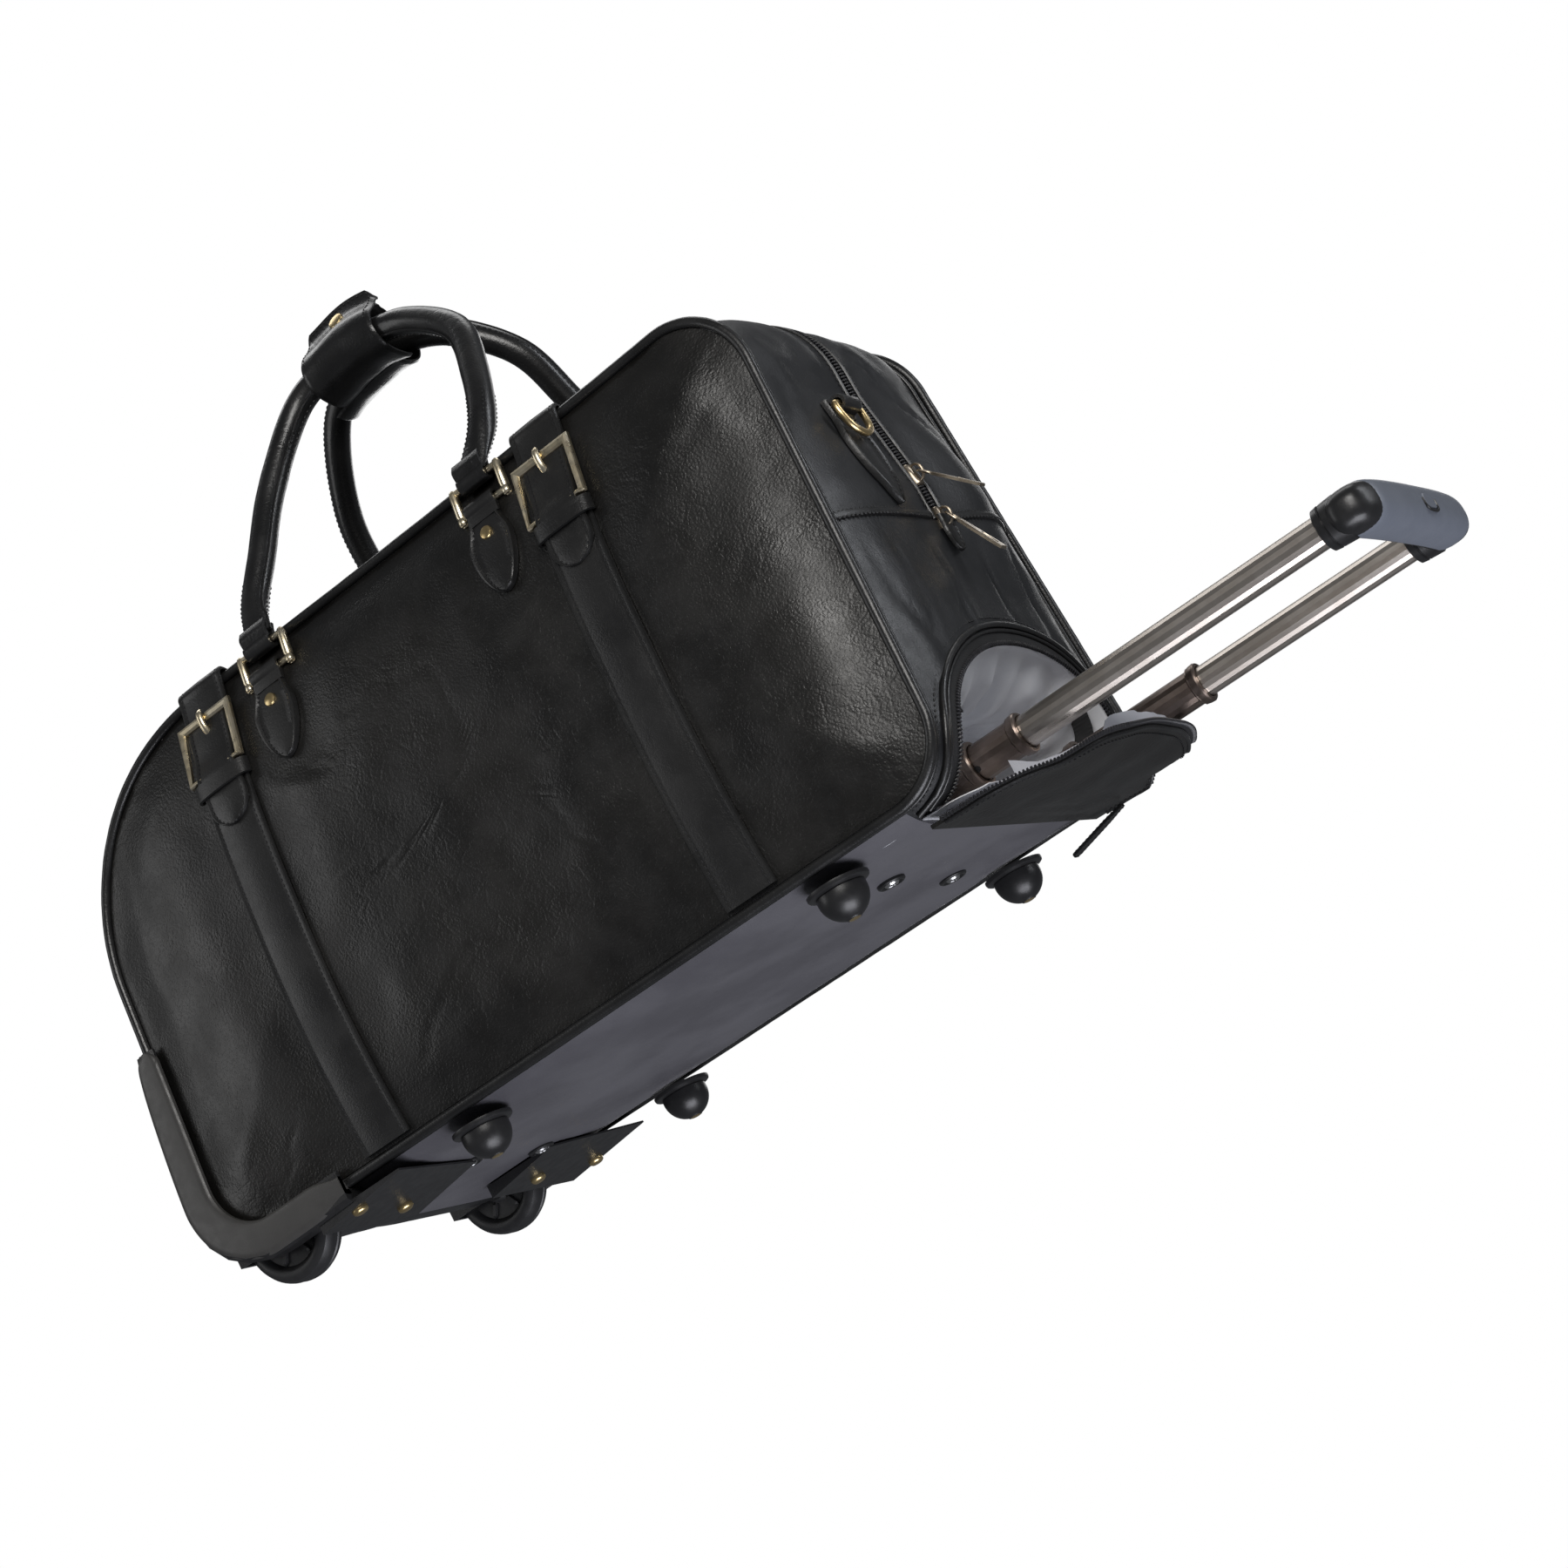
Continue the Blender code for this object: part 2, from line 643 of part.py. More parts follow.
def make_trim():
    for face, side in (("front", -1), ("back", 1)):
        for end, strap_x, tab_x in zip(("wheel_side", "handle_side"), STRAP_X, TAB_X):
            strap("strap_%s_%s" % (face, end), strap_x, side)
            buckle("buckle_%s_%s" % (face, end), strap_x, side)
            handle_tab("tab_%s_%s" % (face, end), tab_x, side)
    d_ring_tab("d_ring_tab_handle_end", 1, D_RING_Y)
    d_ring("d_ring_handle_end", 1, D_RING_Y)
    d_ring_tab("d_ring_tab_wheel_end", -1, -D_RING_Y)
    d_ring("d_ring_wheel_end", -1, -D_RING_Y)


# ---- carry handles -----------------------------------------------------------------------
# The handle's arch in its own leaning plane: X, and distance up from the top of the rings.
ARCH = ((-0.085, 0.0055), (-0.089, 0.034), (-0.082, 0.065), (-0.068, 0.112), (-0.036, 0.161),
        (0.000, 0.173), (0.030, 0.1725), (0.061, 0.158), (0.092, 0.122), (0.099, 0.080),
        (0.100, 0.036), (0.091, 0.0055))
WRAP_START = 0.425           # shares of the arch's length that the wrap covers
WRAP_END = 0.560
# The wrap's inner face: distance from the middle plane, and height from the handle's centre.
WRAP_SECTION = ((0.0008, -0.0150), (0.0070, -0.0158), (0.0150, -0.0148), (0.0230, -0.0116),
                (0.0285, -0.0060), (0.0305, 0.0005), (0.0285, 0.0068), (0.0225, 0.0112),
                (0.0140, 0.0126), (0.0082, 0.0142), (0.0044, 0.0175), (0.0026, 0.0235),
                (0.0020, 0.0305))


def handle_axes(side):
    """The foot, and the up and out directions, of a handle's leaning plane."""
    rise = RING_HEIGHT * math.cos(RING_LEAN)
    foot = Vector((0, side * (HINGE_Y - RING_HEIGHT * math.sin(RING_LEAN)), HINGE_Z + rise))
    up = Vector((0, -side * math.sin(HANDLE_LEAN), math.cos(HANDLE_LEAN)))
    out = Vector((0, side * math.cos(HANDLE_LEAN), math.sin(HANDLE_LEAN)))
    return foot, up, out


def flatness(height):
    """1 at a handle's flattened ends, falling to 0 where it is fully round."""
    share = min(height / 0.040, 1.0)
    return 1 - share * share * (3 - 2 * share)


def arch_points(side, steps):
    foot, up, out = handle_axes(side)
    points = []
    for p in smooth_curve([Vector((x, h, 0)) for x, h in ARCH], steps):
        sway = HANDLE_SWAY[side] * math.sin(math.pi * min(p.y / 0.173, 1.0))
        points.append(foot + Vector((p.x + sway, 0, 0)) + up * p.y + out * 0.0022 * flatness(p.y))
    return points


def handle_frames(side, steps):
    """Frames along the handle, which flattens towards both ends."""
    foot, up, out = handle_axes(side)
    frames = []
    for point, across, _ in path_frames(arch_points(side, steps), out):
        flat = flatness((point - foot).dot(up))
        wide = 1 + (HANDLE_FLARE / HANDLE_RADIUS - 1) * flat
        thin = 1 + (HANDLE_FLAT / HANDLE_RADIUS - 1) * flat
        frames.append((point, across * wide, out * thin))
    return frames


def arch_stretch(side, start, end, count):
    """Evenly spread points over a stretch of the arch, by share of its length."""
    points = arch_points(side, 8)
    lengths = [0.0]
    for a, b in zip(points, points[1:]):
        lengths.append(lengths[-1] + (b - a).length)
    stretch = []
    for share in spread(start, end, count):
        target = share * lengths[-1]
        i = max(k for k in range(len(points) - 1) if lengths[k] <= target)
        part = (target - lengths[i]) / (lengths[i + 1] - lengths[i])
        stretch.append(points[i].lerp(points[i + 1], part))
    return stretch


def handle_wrap(name, side):
    """Half of the leather wrap: a loose sleeve over one handle that runs up into a fin."""
    stretch = arch_stretch(side, WRAP_START, WRAP_END, 6)
    count = len(WRAP_SECTION)
    rows_out = []
    rows_in = []
    for i, point in enumerate(stretch):
        row_out = []
        row_in = []
        for k, (y, rise) in enumerate(WRAP_SECTION):
            before = Vector(WRAP_SECTION[max(k - 1, 0)])
            after = Vector(WRAP_SECTION[min(k + 1, count - 1)])
            along = (after - before).normalized()
            height = point.z + rise
            if k == count - 1 and i in (0, len(stretch) - 1):
                height -= 0.006
            row_in.append(Vector((point.x, side * y, height)))
            row_out.append(Vector((point.x, side * (y + along.y * 0.0022), height - along.x * 0.0022)))
        rows_out.append(row_out)
        rows_in.append(row_in)
    return sheet(name, rows_out, rows_in, "leather_trim")


def ring_loop(x, side):
    """A rounded oblong ring that stands on its tab and carries one end of a handle."""
    up = Vector((0, -side * math.sin(RING_LEAN), math.cos(RING_LEAN)))
    out = Vector((0, side * math.cos(RING_LEAN), math.sin(RING_LEAN)))
    centre = Vector((x, side * HINGE_Y, HINGE_Z)) + up * (RING_HEIGHT / 2)
    half_w = RING_WIDTH / 2
    half_h = RING_HEIGHT / 2
    radius = 0.004
    flat = []
    for cx, cy, start in ((1, 1, 0), (-1, 1, 90), (-1, -1, 180), (1, -1, 270)):
        flat += arc(cx * (half_w - radius), cy * (half_h - radius), radius, radius, start, start + 90, 2)
    points = [centre + Vector((1, 0, 0)) * a + up * b for a, b in flat]
    return path_frames(points, out, closed=True)


def make_carry_handles():
    for face, side in (("front", -1), ("back", 1)):
        swept("carry_handle_%s" % face, handle_frames(side, 3), circle(HANDLE_RADIUS, 10), "leather_trim")
        handle_wrap("handle_wrap_%s" % face, side)
        for end, x in zip(("wheel_side", "handle_side"), RING_X):
            name = "handle_ring_%s_%s" % (face, end)
            swept(name, ring_loop(x, side), circle(RING_RADIUS, 6), "brass", closed=True)


# ---- feet, wheels, housings --------------------------------------------------------------
def make_feet():
    for row, x in zip(("handle_end", "wheel_end"), FOOT_X):
        for face, side in (("front", -1), ("back", 1)):
            profile = [(0.0, 0.0), (0.0, FOOT_FLAT)]
            start = math.degrees(math.asin(FOOT_FLAT / FOOT_RADIUS))
            for angle in spread(start, 90, 4)[1:]:
                turn = math.radians(angle)
                profile.append((FOOT_RADIUS * (1 - math.cos(turn)), FOOT_RADIUS * math.sin(turn)))
            top = BOTTOM_Z - GAP
            profile += [(top - 0.0036, FOOT_RADIUS), (top - 0.0018, FOOT_FLANGE), (top, FOOT_FLANGE)]
            profile.append((top, 0.0))
            turned("foot_%s_%s" % (row, face), profile, (x, side * FOOT_Y, 0), (0, 0, 1), 16, "black_plastic")


def well_cutter(side):
    """Clears the leather round one wheel housing."""
    ends = sorted((side * 0.0942, side * 0.140))
    return set_cutter(box("well_cutter", (-0.300, ends[0], -0.01), (-0.2012, ends[1], 0.0673), "leather"))


def rail_outline():
    """Samples of the seam outline under the corner rail, and how far out the rail stands."""
    low = corner(WHEEL_END_X + RADIUS_LOW_WHEEL, SEAM_LOW + RADIUS_LOW_WHEEL, RADIUS_LOW_WHEEL, 180, 6)
    top = [(WHEEL_END_X, z, -1.0, 0.0) for z in (0.166, 0.155, 0.135, 0.105)]
    front = [(x, SEAM_LOW, 0.0, -1.0) for x in (-0.200, -0.174)]
    samples = top + low + front
    reach = [0.0085, 0.0115, 0.0140, 0.0165] + [0.018, 0.019, 0.020, 0.020, 0.019, 0.018, 0.0165]
    reach += [0.0160, 0.0150]
    return list(zip(samples, reach))


def corner_rail(name, side):
    """The moulded rail round the bag's lower corner: an L section that hooks over the piping."""
    rings = []
    bm = bmesh.new()
    for (x, z, nx, nz), reach in rail_outline():
        depth = half_depth(x, z)
        lip_in = depth + LEATHER + PIPING_RADIUS + 0.0008
        lip_out = lip_in + 0.003
        clear = PIPING_RADIUS * 2 + GAP * 3
        section = [(-0.005, lip_in), (-0.005, lip_out - 0.001), (-0.003, lip_out)]
        section += [(reach - 0.003, lip_out), (reach, lip_out - 0.003)]
        section += [(reach, RAIL_INNER_Y), (clear, RAIL_INNER_Y), (clear, lip_in)]
        ring = []
        for out, y in section:
            ring.append(bm.verts.new((x + nx * out, side * y, z + nz * out)))
        rings.append(ring)
    count = len(rings[0])
    for here, after in zip(rings, rings[1:]):
        for j in range(count):
            k = (j + 1) % count
            bm.faces.new((here[j], after[j], after[k], here[k]))
    bm.faces.new(rings[0])
    bm.faces.new(reversed(rings[-1]))
    return add_object(name, bm, "black_plastic")


RAIL_INNER_Y = 0.1217


def wheel_housing(name, side):
    """The corner rail joined to the wheel well and the riveted plate ahead of the wheel."""
    housing = corner_rail(name, side)
    ends = sorted((side * 0.0945, side * 0.1232))
    well = set_cutter(box("well_block", (-0.2720, ends[0], 0.0250), (-0.2015, ends[1], 0.0670), "black_plastic"))
    boolean(housing, well, "UNION")
    plate = set_cutter(plate_wedge(side))
    boolean(housing, plate, "UNION")
    ends = sorted((side * 0.0965, side * 0.1212))
    space = set_cutter(box("wheel_space", (-0.2700, ends[0], -0.01), (-0.2035, ends[1], 0.0650), "black_plastic"))
    boolean(housing, space, "DIFFERENCE")
    place = (WHEEL_X, side * 0.090, WHEEL_RADIUS)
    profile = [(0.0, 0.0), (0.0, AXLE_RADIUS + 0.0004), (0.0395, AXLE_RADIUS + 0.0004), (0.0395, 0.0)]
    hole = set_cutter(turned("axle_hole", profile, place, (0, side, 0), 12, "black_plastic"))
    boolean(housing, hole, "DIFFERENCE")
    return housing


def plate_wedge(side):
    """A plate under the bottom panel that slopes down to the wheel opening."""
    top = BOTTOM_Z - GAP
    front = -0.137
    back = -0.2025
    bm = bmesh.new()
    corners = []
    for y in (0.040, 0.1325):
        inset = 0.012 if y < 0.1 else 0.0
        corners.append([bm.verts.new((x, side * y, z)) for x, z in
                        ((front - inset, top), (front - inset, top - 0.0012), (back, 0.0125), (back, top))])
    for j in range(4):
        k = (j + 1) % 4
        bm.faces.new((corners[0][j], corners[1][j], corners[1][k], corners[0][k]))
    bm.faces.new(corners[0])
    bm.faces.new(reversed(corners[1]))
    return add_object("plate_wedge", bm, "black_plastic")


def make_wheels():
    for face, side in (("front", -1), ("back", 1)):
        wheel_housing("wheel_housing_%s" % face, side)
        bore = AXLE_RADIUS + 0.0004
        half = WHEEL_WIDTH / 2
        profile = [(-half, bore), (-half, 0.009), (-half + 0.003, 0.011), (-half + 0.003, 0.021)]
        profile += [(-half + 0.0005, 0.023), (-half + 0.0005, 0.0265), (-half + 0.0025, 0.0297)]
        profile += [(-half + 0.0065, WHEEL_RADIUS)]
        mirrored = [(-along, radius) for along, radius in reversed(profile)]
        centre = (WHEEL_X, side * WHEEL_Y, WHEEL_RADIUS)
        turned("wheel_%s" % face, profile + mirrored, centre, (0, 1, 0), 24, "tyre", closed=True)
        pin = [(0.0952, 0.0), (0.0952, AXLE_RADIUS), (0.1250, AXLE_RADIUS), (0.1250, 0.0)]
        turned("axle_%s" % face, pin, (WHEEL_X, 0, WHEEL_RADIUS), (0, side, 0), 12, "steel")


# ---- trolley handle ----------------------------------------------------------------------
def tube(name, start, end, radius, y, look, collar=0.0):
    """A tube open at both ends, with a raised collar at its outer end if one is asked for."""
    bore = radius - TUBE_WALL
    profile = [(start, bore), (start, radius)]
    if collar:
        profile += [(end - 0.006, radius), (end - 0.005, radius + collar), (end, radius + collar)]
    else:
        profile.append((end, radius))
    profile.append((end, bore))
    turned(name, profile, (0, y, TUBE_Z), (1, 0, 0), 20, look, closed=True)


def make_trolley():
    for leg, side in (("near", -1), ("far", 1)):
        y = side * TUBE_Y
        tube("outer_tube_%s" % leg, OUTER_TUBE[0], OUTER_TUBE[1], OUTER_RADIUS, y, "dark_tube_metal", 0.0014)
        end = MIDDLE_END[leg]
        tube("middle_tube_%s" % leg, end - MIDDLE_LENGTH, end, MIDDLE_RADIUS, y, "dark_tube_metal", 0.0012)
        tube("inner_tube_%s" % leg, INNER_START, SOCKET_X + 0.010, INNER_RADIUS, y, "tube_metal")
    make_grip()
    for place, x in zip(("front", "rear"), BRACKET_X):
        bracket = box("tube_bracket_%s" % place, (x - 0.012, -0.084, 0.0250), (x + 0.012, 0.084, 0.0574),
                      "black_plastic")
        for side in (-1, 1):
            profile = [(-0.03, 0.0), (-0.03, OUTER_RADIUS + 0.0005), (0.03, OUTER_RADIUS + 0.0005), (0.03, 0.0)]
            hole = turned("bracket_bore", profile, (x, side * TUBE_Y, TUBE_Z), (1, 0, 0), 20, "black_plastic")
            boolean(bracket, set_cutter(hole), "DIFFERENCE")
    box("base_board", (-0.195, -0.100, BOARD_Z), (0.188, 0.100, BOARD_Z + 0.003), "board")


def rounded_section(half_a, half_b, sides, power=2.6):
    """A squarish oval, as offsets from its middle."""
    points = []
    for i in range(sides):
        angle = 2 * math.pi * (i + 0.5) / sides
        c = math.cos(angle)
        s = math.sin(angle)
        a = math.copysign(abs(c) ** (2 / power), c) * half_a
        b = math.copysign(abs(s) ** (2 / power), s) * half_b
        points.append((a, b))
    return points


def grip_bar(name, look):
    """The grip's cross bar, with rounded ends."""
    frames = []
    for y in spread(-1.0, 1.0, 14):
        ease = math.sin(y * math.pi / 2)
        size = (1 - abs(ease) ** 11 * 0.42)
        origin = Vector((GRIP_X - 0.004 * abs(ease) ** 3, ease * GRIP_HALF_Y, TUBE_Z))
        frames.append((origin, Vector((size, 0, 0)), Vector((0, 0, size))))
    return swept(name, frames, rounded_section(GRIP_HALF_X, GRIP_HALF_Z, 16), look)


def make_grip():
    body = grip_bar("grip_body", "black_plastic")
    cover = grip_bar("grip_cover", "grip_grey")
    for side in (-1, 1):
        y = side * TUBE_Y
        profile = [(SOCKET_X, 0.0), (SOCKET_X, 0.0116), (SOCKET_X + 0.004, 0.0124), (GRIP_X - 0.0021, 0.0124)]
        profile.append((GRIP_X - 0.0021, 0.0))
        boss = turned("grip_boss", profile, (0, y, TUBE_Z), (1, 0, 0), 20, "black_plastic")
        boolean(body, set_cutter(boss), "UNION")
    for side in (-1, 1):
        y = side * TUBE_Y
        bore = INNER_RADIUS + 0.0004
        profile = [(SOCKET_X - 0.02, 0.0), (SOCKET_X - 0.02, bore), (SOCKET_X + 0.0103, bore), (SOCKET_X + 0.0103, 0.0)]
        hole = turned("socket_bore", profile, (0, y, TUBE_Z), (1, 0, 0), 22, "black_plastic")
        boolean(body, set_cutter(hole), "DIFFERENCE")
    low = (COVER_SPLIT_X, -COVER_HALF_Y, 0.0)
    high = (0.60, COVER_HALF_Y, 0.10)
    boolean(body, set_cutter(box("cover_space", low, high, "black_plastic")), "DIFFERENCE")
    low = (COVER_SPLIT_X + GAP, -COVER_HALF_Y + GAP, 0.0)
    high = (0.60, COVER_HALF_Y - GAP, 0.10)
    boolean(cover, set_cutter(box("cover_limit", low, high, "grip_grey")), "INTERSECT")
    depth, width, height = BUTTON_SIZE
    face = GRIP_X + GRIP_HALF_X + BUTTON_PROUD
    clear = 0.0004
    low = (face - depth - 0.0045, -width / 2 - clear, BUTTON_Z - height / 2 - clear)
    high = (0.60, width / 2 + clear, BUTTON_Z + height / 2 + clear)
    boolean(cover, set_cutter(box("button_space", low, high, "grip_grey")), "DIFFERENCE")
    section = rounded_section(width / 2, height / 2, 12, 3.5)
    frames = []
    for along, size in ((-depth, 1.0), (-0.001, 1.0), (0.0, 0.86)):
        origin = Vector((face + along, 0, BUTTON_Z))
        frames.append((origin, Vector((0, size, 0)), Vector((0, 0, size))))
    swept("grip_button", frames, section, "grip_grey")


# ---- pocket flap and zip pulls -----------------------------------------------------------
def make_flap():
    """The open pocket flap: a stiff lined leather D, hinged along the bottom seam."""
    droop = math.radians(2.0)
    section = [(0.0, -FLAP_HALF_WIDTH), (0.024, -FLAP_HALF_WIDTH)]
    section += [(0.024 + (FLAP_LENGTH - 0.024) * math.sin(math.radians(a)),
                 -FLAP_HALF_WIDTH * math.cos(math.radians(a))) for a in spread(0, 180, 12)[1:-1]]
    section += [(0.024, FLAP_HALF_WIDTH), (0.0, FLAP_HALF_WIDTH)]
    bm = bmesh.new()
    layers = []
    for lift in (-FLAP_THICKNESS / 2, FLAP_THICKNESS / 2):
        layer = []
        for along, y in section:
            x = FLAP_HINGE_X + along * math.cos(droop)
            z = FLAP_HINGE_Z - along * math.sin(droop) + lift
            layer.append(bm.verts.new((x, y, z)))
        layers.append(layer)
    bm.faces.new(layers[0])
    bm.faces.new(reversed(layers[1]))
    for i in range(len(section)):
        k = (i + 1) % len(section)
        bm.faces.new((layers[0][i], layers[1][i], layers[1][k], layers[0][k]))
    add_object("pocket_flap", bm, "leather")


def pull_plate(name, top, direction, out, length, width, thickness, look):
    """A flat pull that tapers towards its pivot end."""
    direction = direction.normalized()
    across = direction.cross(out).normalized()
    rows = []
    for along, half in ((0.0, 0.30), (0.10, 0.42), (0.30, 0.50), (0.92, 0.50), (1.0, 0.38)):
        rows.append((along * length, half * width))
    outer = []
    inner = []
    for along, half in rows:
        point = top + direction * along
        inner.append([point - across * half, point + across * half])
        outer.append([point - across * half + out * thickness, point + across * half + out * thickness])
    return sheet(name, outer, inner, look)


PULL_LENGTH = 0.039
PULL_STAND_OFF = 0.0062
PULL_TOPS = {"upper": (-0.001, 0.2155), "lower": (0.001, 0.1865)}
PULL_SWING = {"upper": 45.0, "lower": 28.0}
POCKET_PULL_TOP = (0.262, 0.0895, 0.0125)
POCKET_PULL_LENGTH = 0.042


def make_pulls():
    for name, (y, z) in PULL_TOPS.items():
        swing = math.radians(PULL_SWING[name])
        x = end_reach(1, y, z) + PULL_STAND_OFF
        hang = Vector((math.sin(swing), 0, -math.cos(swing)))
        out = Vector((math.cos(swing), 0, math.sin(swing)))
        pull_plate("main_zip_pull_%s" % name, Vector((x, y, z)), hang, out, PULL_LENGTH, 0.0085, 0.0016, "brass")
    fall = math.radians(14.0)
    direction = Vector((-math.cos(fall), 0, -math.sin(fall)))
    out = Vector((-math.sin(fall), 0, math.cos(fall)))
    pull_plate("pocket_zip_pull", Vector(POCKET_PULL_TOP), direction, out, POCKET_PULL_LENGTH,
               0.008, 0.0018, "leather_trim")


# ---- origins -----------------------------------------------------------------------------
def pivots():
    """Each moving piece's own origin, on its joint's axis."""
    places = {}
    for face, side in (("front", -1), ("back", 1)):
        places["wheel_%s" % face] = (WHEEL_X, side * WHEEL_Y, WHEEL_RADIUS)
        hinge = (0, side * HINGE_Y, HINGE_Z)
        for name in ("carry_handle_%s", "handle_wrap_%s", "handle_ring_%s_handle_side", "handle_ring_%s_wheel_side"):
            places[name % face] = hinge
    for leg, side in (("near", -1), ("far", 1)):
        places["middle_tube_%s" % leg] = (MIDDLE_END[leg], side * TUBE_Y, TUBE_Z)
        places["inner_tube_%s" % leg] = (SOCKET_X, side * TUBE_Y, TUBE_Z)
    places["grip_body"] = (SOCKET_X, 0, TUBE_Z)
    places["grip_cover"] = (SOCKET_X, 0, TUBE_Z)
    places["grip_button"] = (GRIP_X + GRIP_HALF_X, 0, BUTTON_Z)
    places["pocket_flap"] = (FLAP_HINGE_X, 0, FLAP_HINGE_Z)
    places["pocket_zip_pull"] = POCKET_PULL_TOP
    for name, (y, z) in PULL_TOPS.items():
        places["main_zip_pull_%s" % name] = (end_reach(1, y, z) + PULL_STAND_OFF, y, z)
    for name, end, y in (("handle", 1, D_RING_Y), ("wheel", -1, -D_RING_Y)):
        places["d_ring_%s_end" % name] = d_ring_pivot(end, y)
    return places


def set_origins():
    """Put the object's origin at the middle of its whole length, and each piece's on its pivot."""
    low = min(vert.co.x for piece in bpy.data.objects if not piece.hide_render for vert in piece.data.vertices)
    grip = bpy.data.objects["grip_cover"].evaluated_get(bpy.context.evaluated_depsgraph_get())
    high = max(max(corner[0] for corner in grip.bound_box), GRIP_X + GRIP_HALF_X + BUTTON_PROUD)
    middle = Vector(((low + high) / 2, 0, 0))
    places = pivots()
    for piece in bpy.data.objects:
        place = Vector(places.get(piece.name, middle))
        piece.data.transform(Matrix.Translation(-place))
        piece.location = place - middle


# ---- build -------------------------------------------------------------------------------
for old in list(bpy.data.objects):
    bpy.data.objects.remove(old, do_unlink=True)
materials = make_materials()
outline, marks = make_outline()
make_panels()
make_piping()
make_trim()
make_carry_handles()
make_feet()
make_wheels()
make_trolley()
make_flap()
make_pulls()
set_origins()
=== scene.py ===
"""Looks for a wheeled leather holdall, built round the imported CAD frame.

Shapes are worked out in the bag's own frame (X = 0 is the middle of the bag's length) and moved
into the row's frame by SHIFT when each piece is made. All sizes are in metres.
"""
import math

import bmesh
import bpy
from mathutils import Matrix, Vector, noise


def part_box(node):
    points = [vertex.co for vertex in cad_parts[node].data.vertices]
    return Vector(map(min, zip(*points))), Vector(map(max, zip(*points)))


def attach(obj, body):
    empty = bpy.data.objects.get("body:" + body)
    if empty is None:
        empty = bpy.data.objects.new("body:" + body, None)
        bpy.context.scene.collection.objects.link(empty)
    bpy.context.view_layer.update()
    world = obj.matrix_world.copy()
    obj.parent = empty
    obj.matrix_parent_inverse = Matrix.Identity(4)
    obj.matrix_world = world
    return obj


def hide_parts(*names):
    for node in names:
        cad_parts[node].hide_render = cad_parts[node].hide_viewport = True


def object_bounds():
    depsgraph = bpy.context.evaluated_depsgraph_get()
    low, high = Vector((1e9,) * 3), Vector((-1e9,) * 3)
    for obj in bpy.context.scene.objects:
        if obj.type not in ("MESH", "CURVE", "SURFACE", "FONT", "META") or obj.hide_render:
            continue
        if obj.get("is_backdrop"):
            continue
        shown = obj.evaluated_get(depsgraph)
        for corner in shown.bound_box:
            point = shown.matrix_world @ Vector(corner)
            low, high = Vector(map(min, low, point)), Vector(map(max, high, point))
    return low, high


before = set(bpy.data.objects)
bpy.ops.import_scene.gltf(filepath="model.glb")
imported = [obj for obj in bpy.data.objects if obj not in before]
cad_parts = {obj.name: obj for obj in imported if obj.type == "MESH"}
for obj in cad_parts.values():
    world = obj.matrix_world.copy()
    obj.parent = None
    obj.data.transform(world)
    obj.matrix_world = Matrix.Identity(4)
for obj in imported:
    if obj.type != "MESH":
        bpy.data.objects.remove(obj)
cad_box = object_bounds()

# ---- the CAD's driving dimensions, repeated from part.py, and sizes that only the looks have ----
GAP = 0.0003
LEATHER = 0.0026
HANDLE_END_X = 0.270
WHEEL_END_X = -0.268
SEAM_LOW = 0.034
SEAM_TOP = 0.332
HALF_DEPTH_LOW = 0.127
HALF_DEPTH_TOP = 0.097
TOP_SAG = 0.008
END_SEAM_Z = 0.186
RADIUS_LOW_HANDLE = 0.036
RADIUS_TOP_HANDLE = 0.042
RADIUS_TOP_WHEEL = 0.125
RADIUS_LOW_WHEEL = 0.040
CROWN_TOP = 0.012
CROWN_END = 0.014
CROWN_BOTTOM = 0.013
CROWN_BACK = 0.009
PANEL_BULGE = 0.015
BULGE_REACH = 0.14
ZIP_HALF = 0.0065
PIPING_RADIUS = 0.003
FACES = (("front", -1), ("back", 1))
STRAP_X = (-0.137, 0.138)
STRAP_WIDTH = 0.035
STRAP_THICKNESS = 0.0024
STRAP_OFF = 0.0008
STRAP_TIP_Z = 0.246
STRAP_TIP_HALF = 0.0152
STRAP_TIP_ROUND = 0.015
BUCKLE_Z = 0.298
BUCKLE_WIDTH = 0.043
BUCKLE_HEIGHT = 0.041
TAB_X = (-0.0875, 0.0885)
TAB_TOP = 0.3136
TAB_TIP = 0.260
TAB_HALF_WIDTH = 0.0155
TAB_NECK = 0.011
HINGE_Y = 0.1038
HINGE_Z = 0.3165
RING_X = (-0.085, 0.091)
RING_LEAN = math.radians(12.0)
HANDLE_LEAN = math.radians(28.7)
HANDLE_RADIUS = 0.0084
HANDLE_FLAT = 0.0030
HANDLE_FLARE = 0.0105
HANDLE_SWAY = {-1: 0.005, 1: -0.009}
RING_WIDTH = 0.034
RING_HEIGHT = 0.0175
D_RING_Y = -0.042
D_RING_Z = 0.262
D_RING_WIDTH = 0.028
D_RING_DROP = 0.020
D_RING_RADIUS = 0.0021
D_TAB_LENGTH = 0.071
FOOT_X = (0.175, -0.089)
FOOT_Y = 0.110
FOOT_RADIUS = 0.0146
FOOT_FLANGE = 0.0185
FOOT_FLAT = 0.0048
BOTTOM_Z = SEAM_LOW - CROWN_BOTTOM
WHEEL_X = -0.2376
WHEEL_Y = 0.109
WHEEL_RADIUS = 0.031
WHEEL_WIDTH = 0.020
TUBE_Y = 0.069
TUBE_Z = 0.042
OUTER_END = 0.262
OUTER_RADIUS = 0.0119
MIDDLE_RADIUS = 0.0105
INNER_RADIUS = 0.0091
MIDDLE_END = {"near": 0.2936, "far": 0.347}
SOCKET_X = 0.485
GRIP_X = 0.508
GRIP_HALF_X = 0.0145
GRIP_HALF_Z = 0.0135
GRIP_HALF_Y = 0.086
COVER_HALF_Y = 0.073
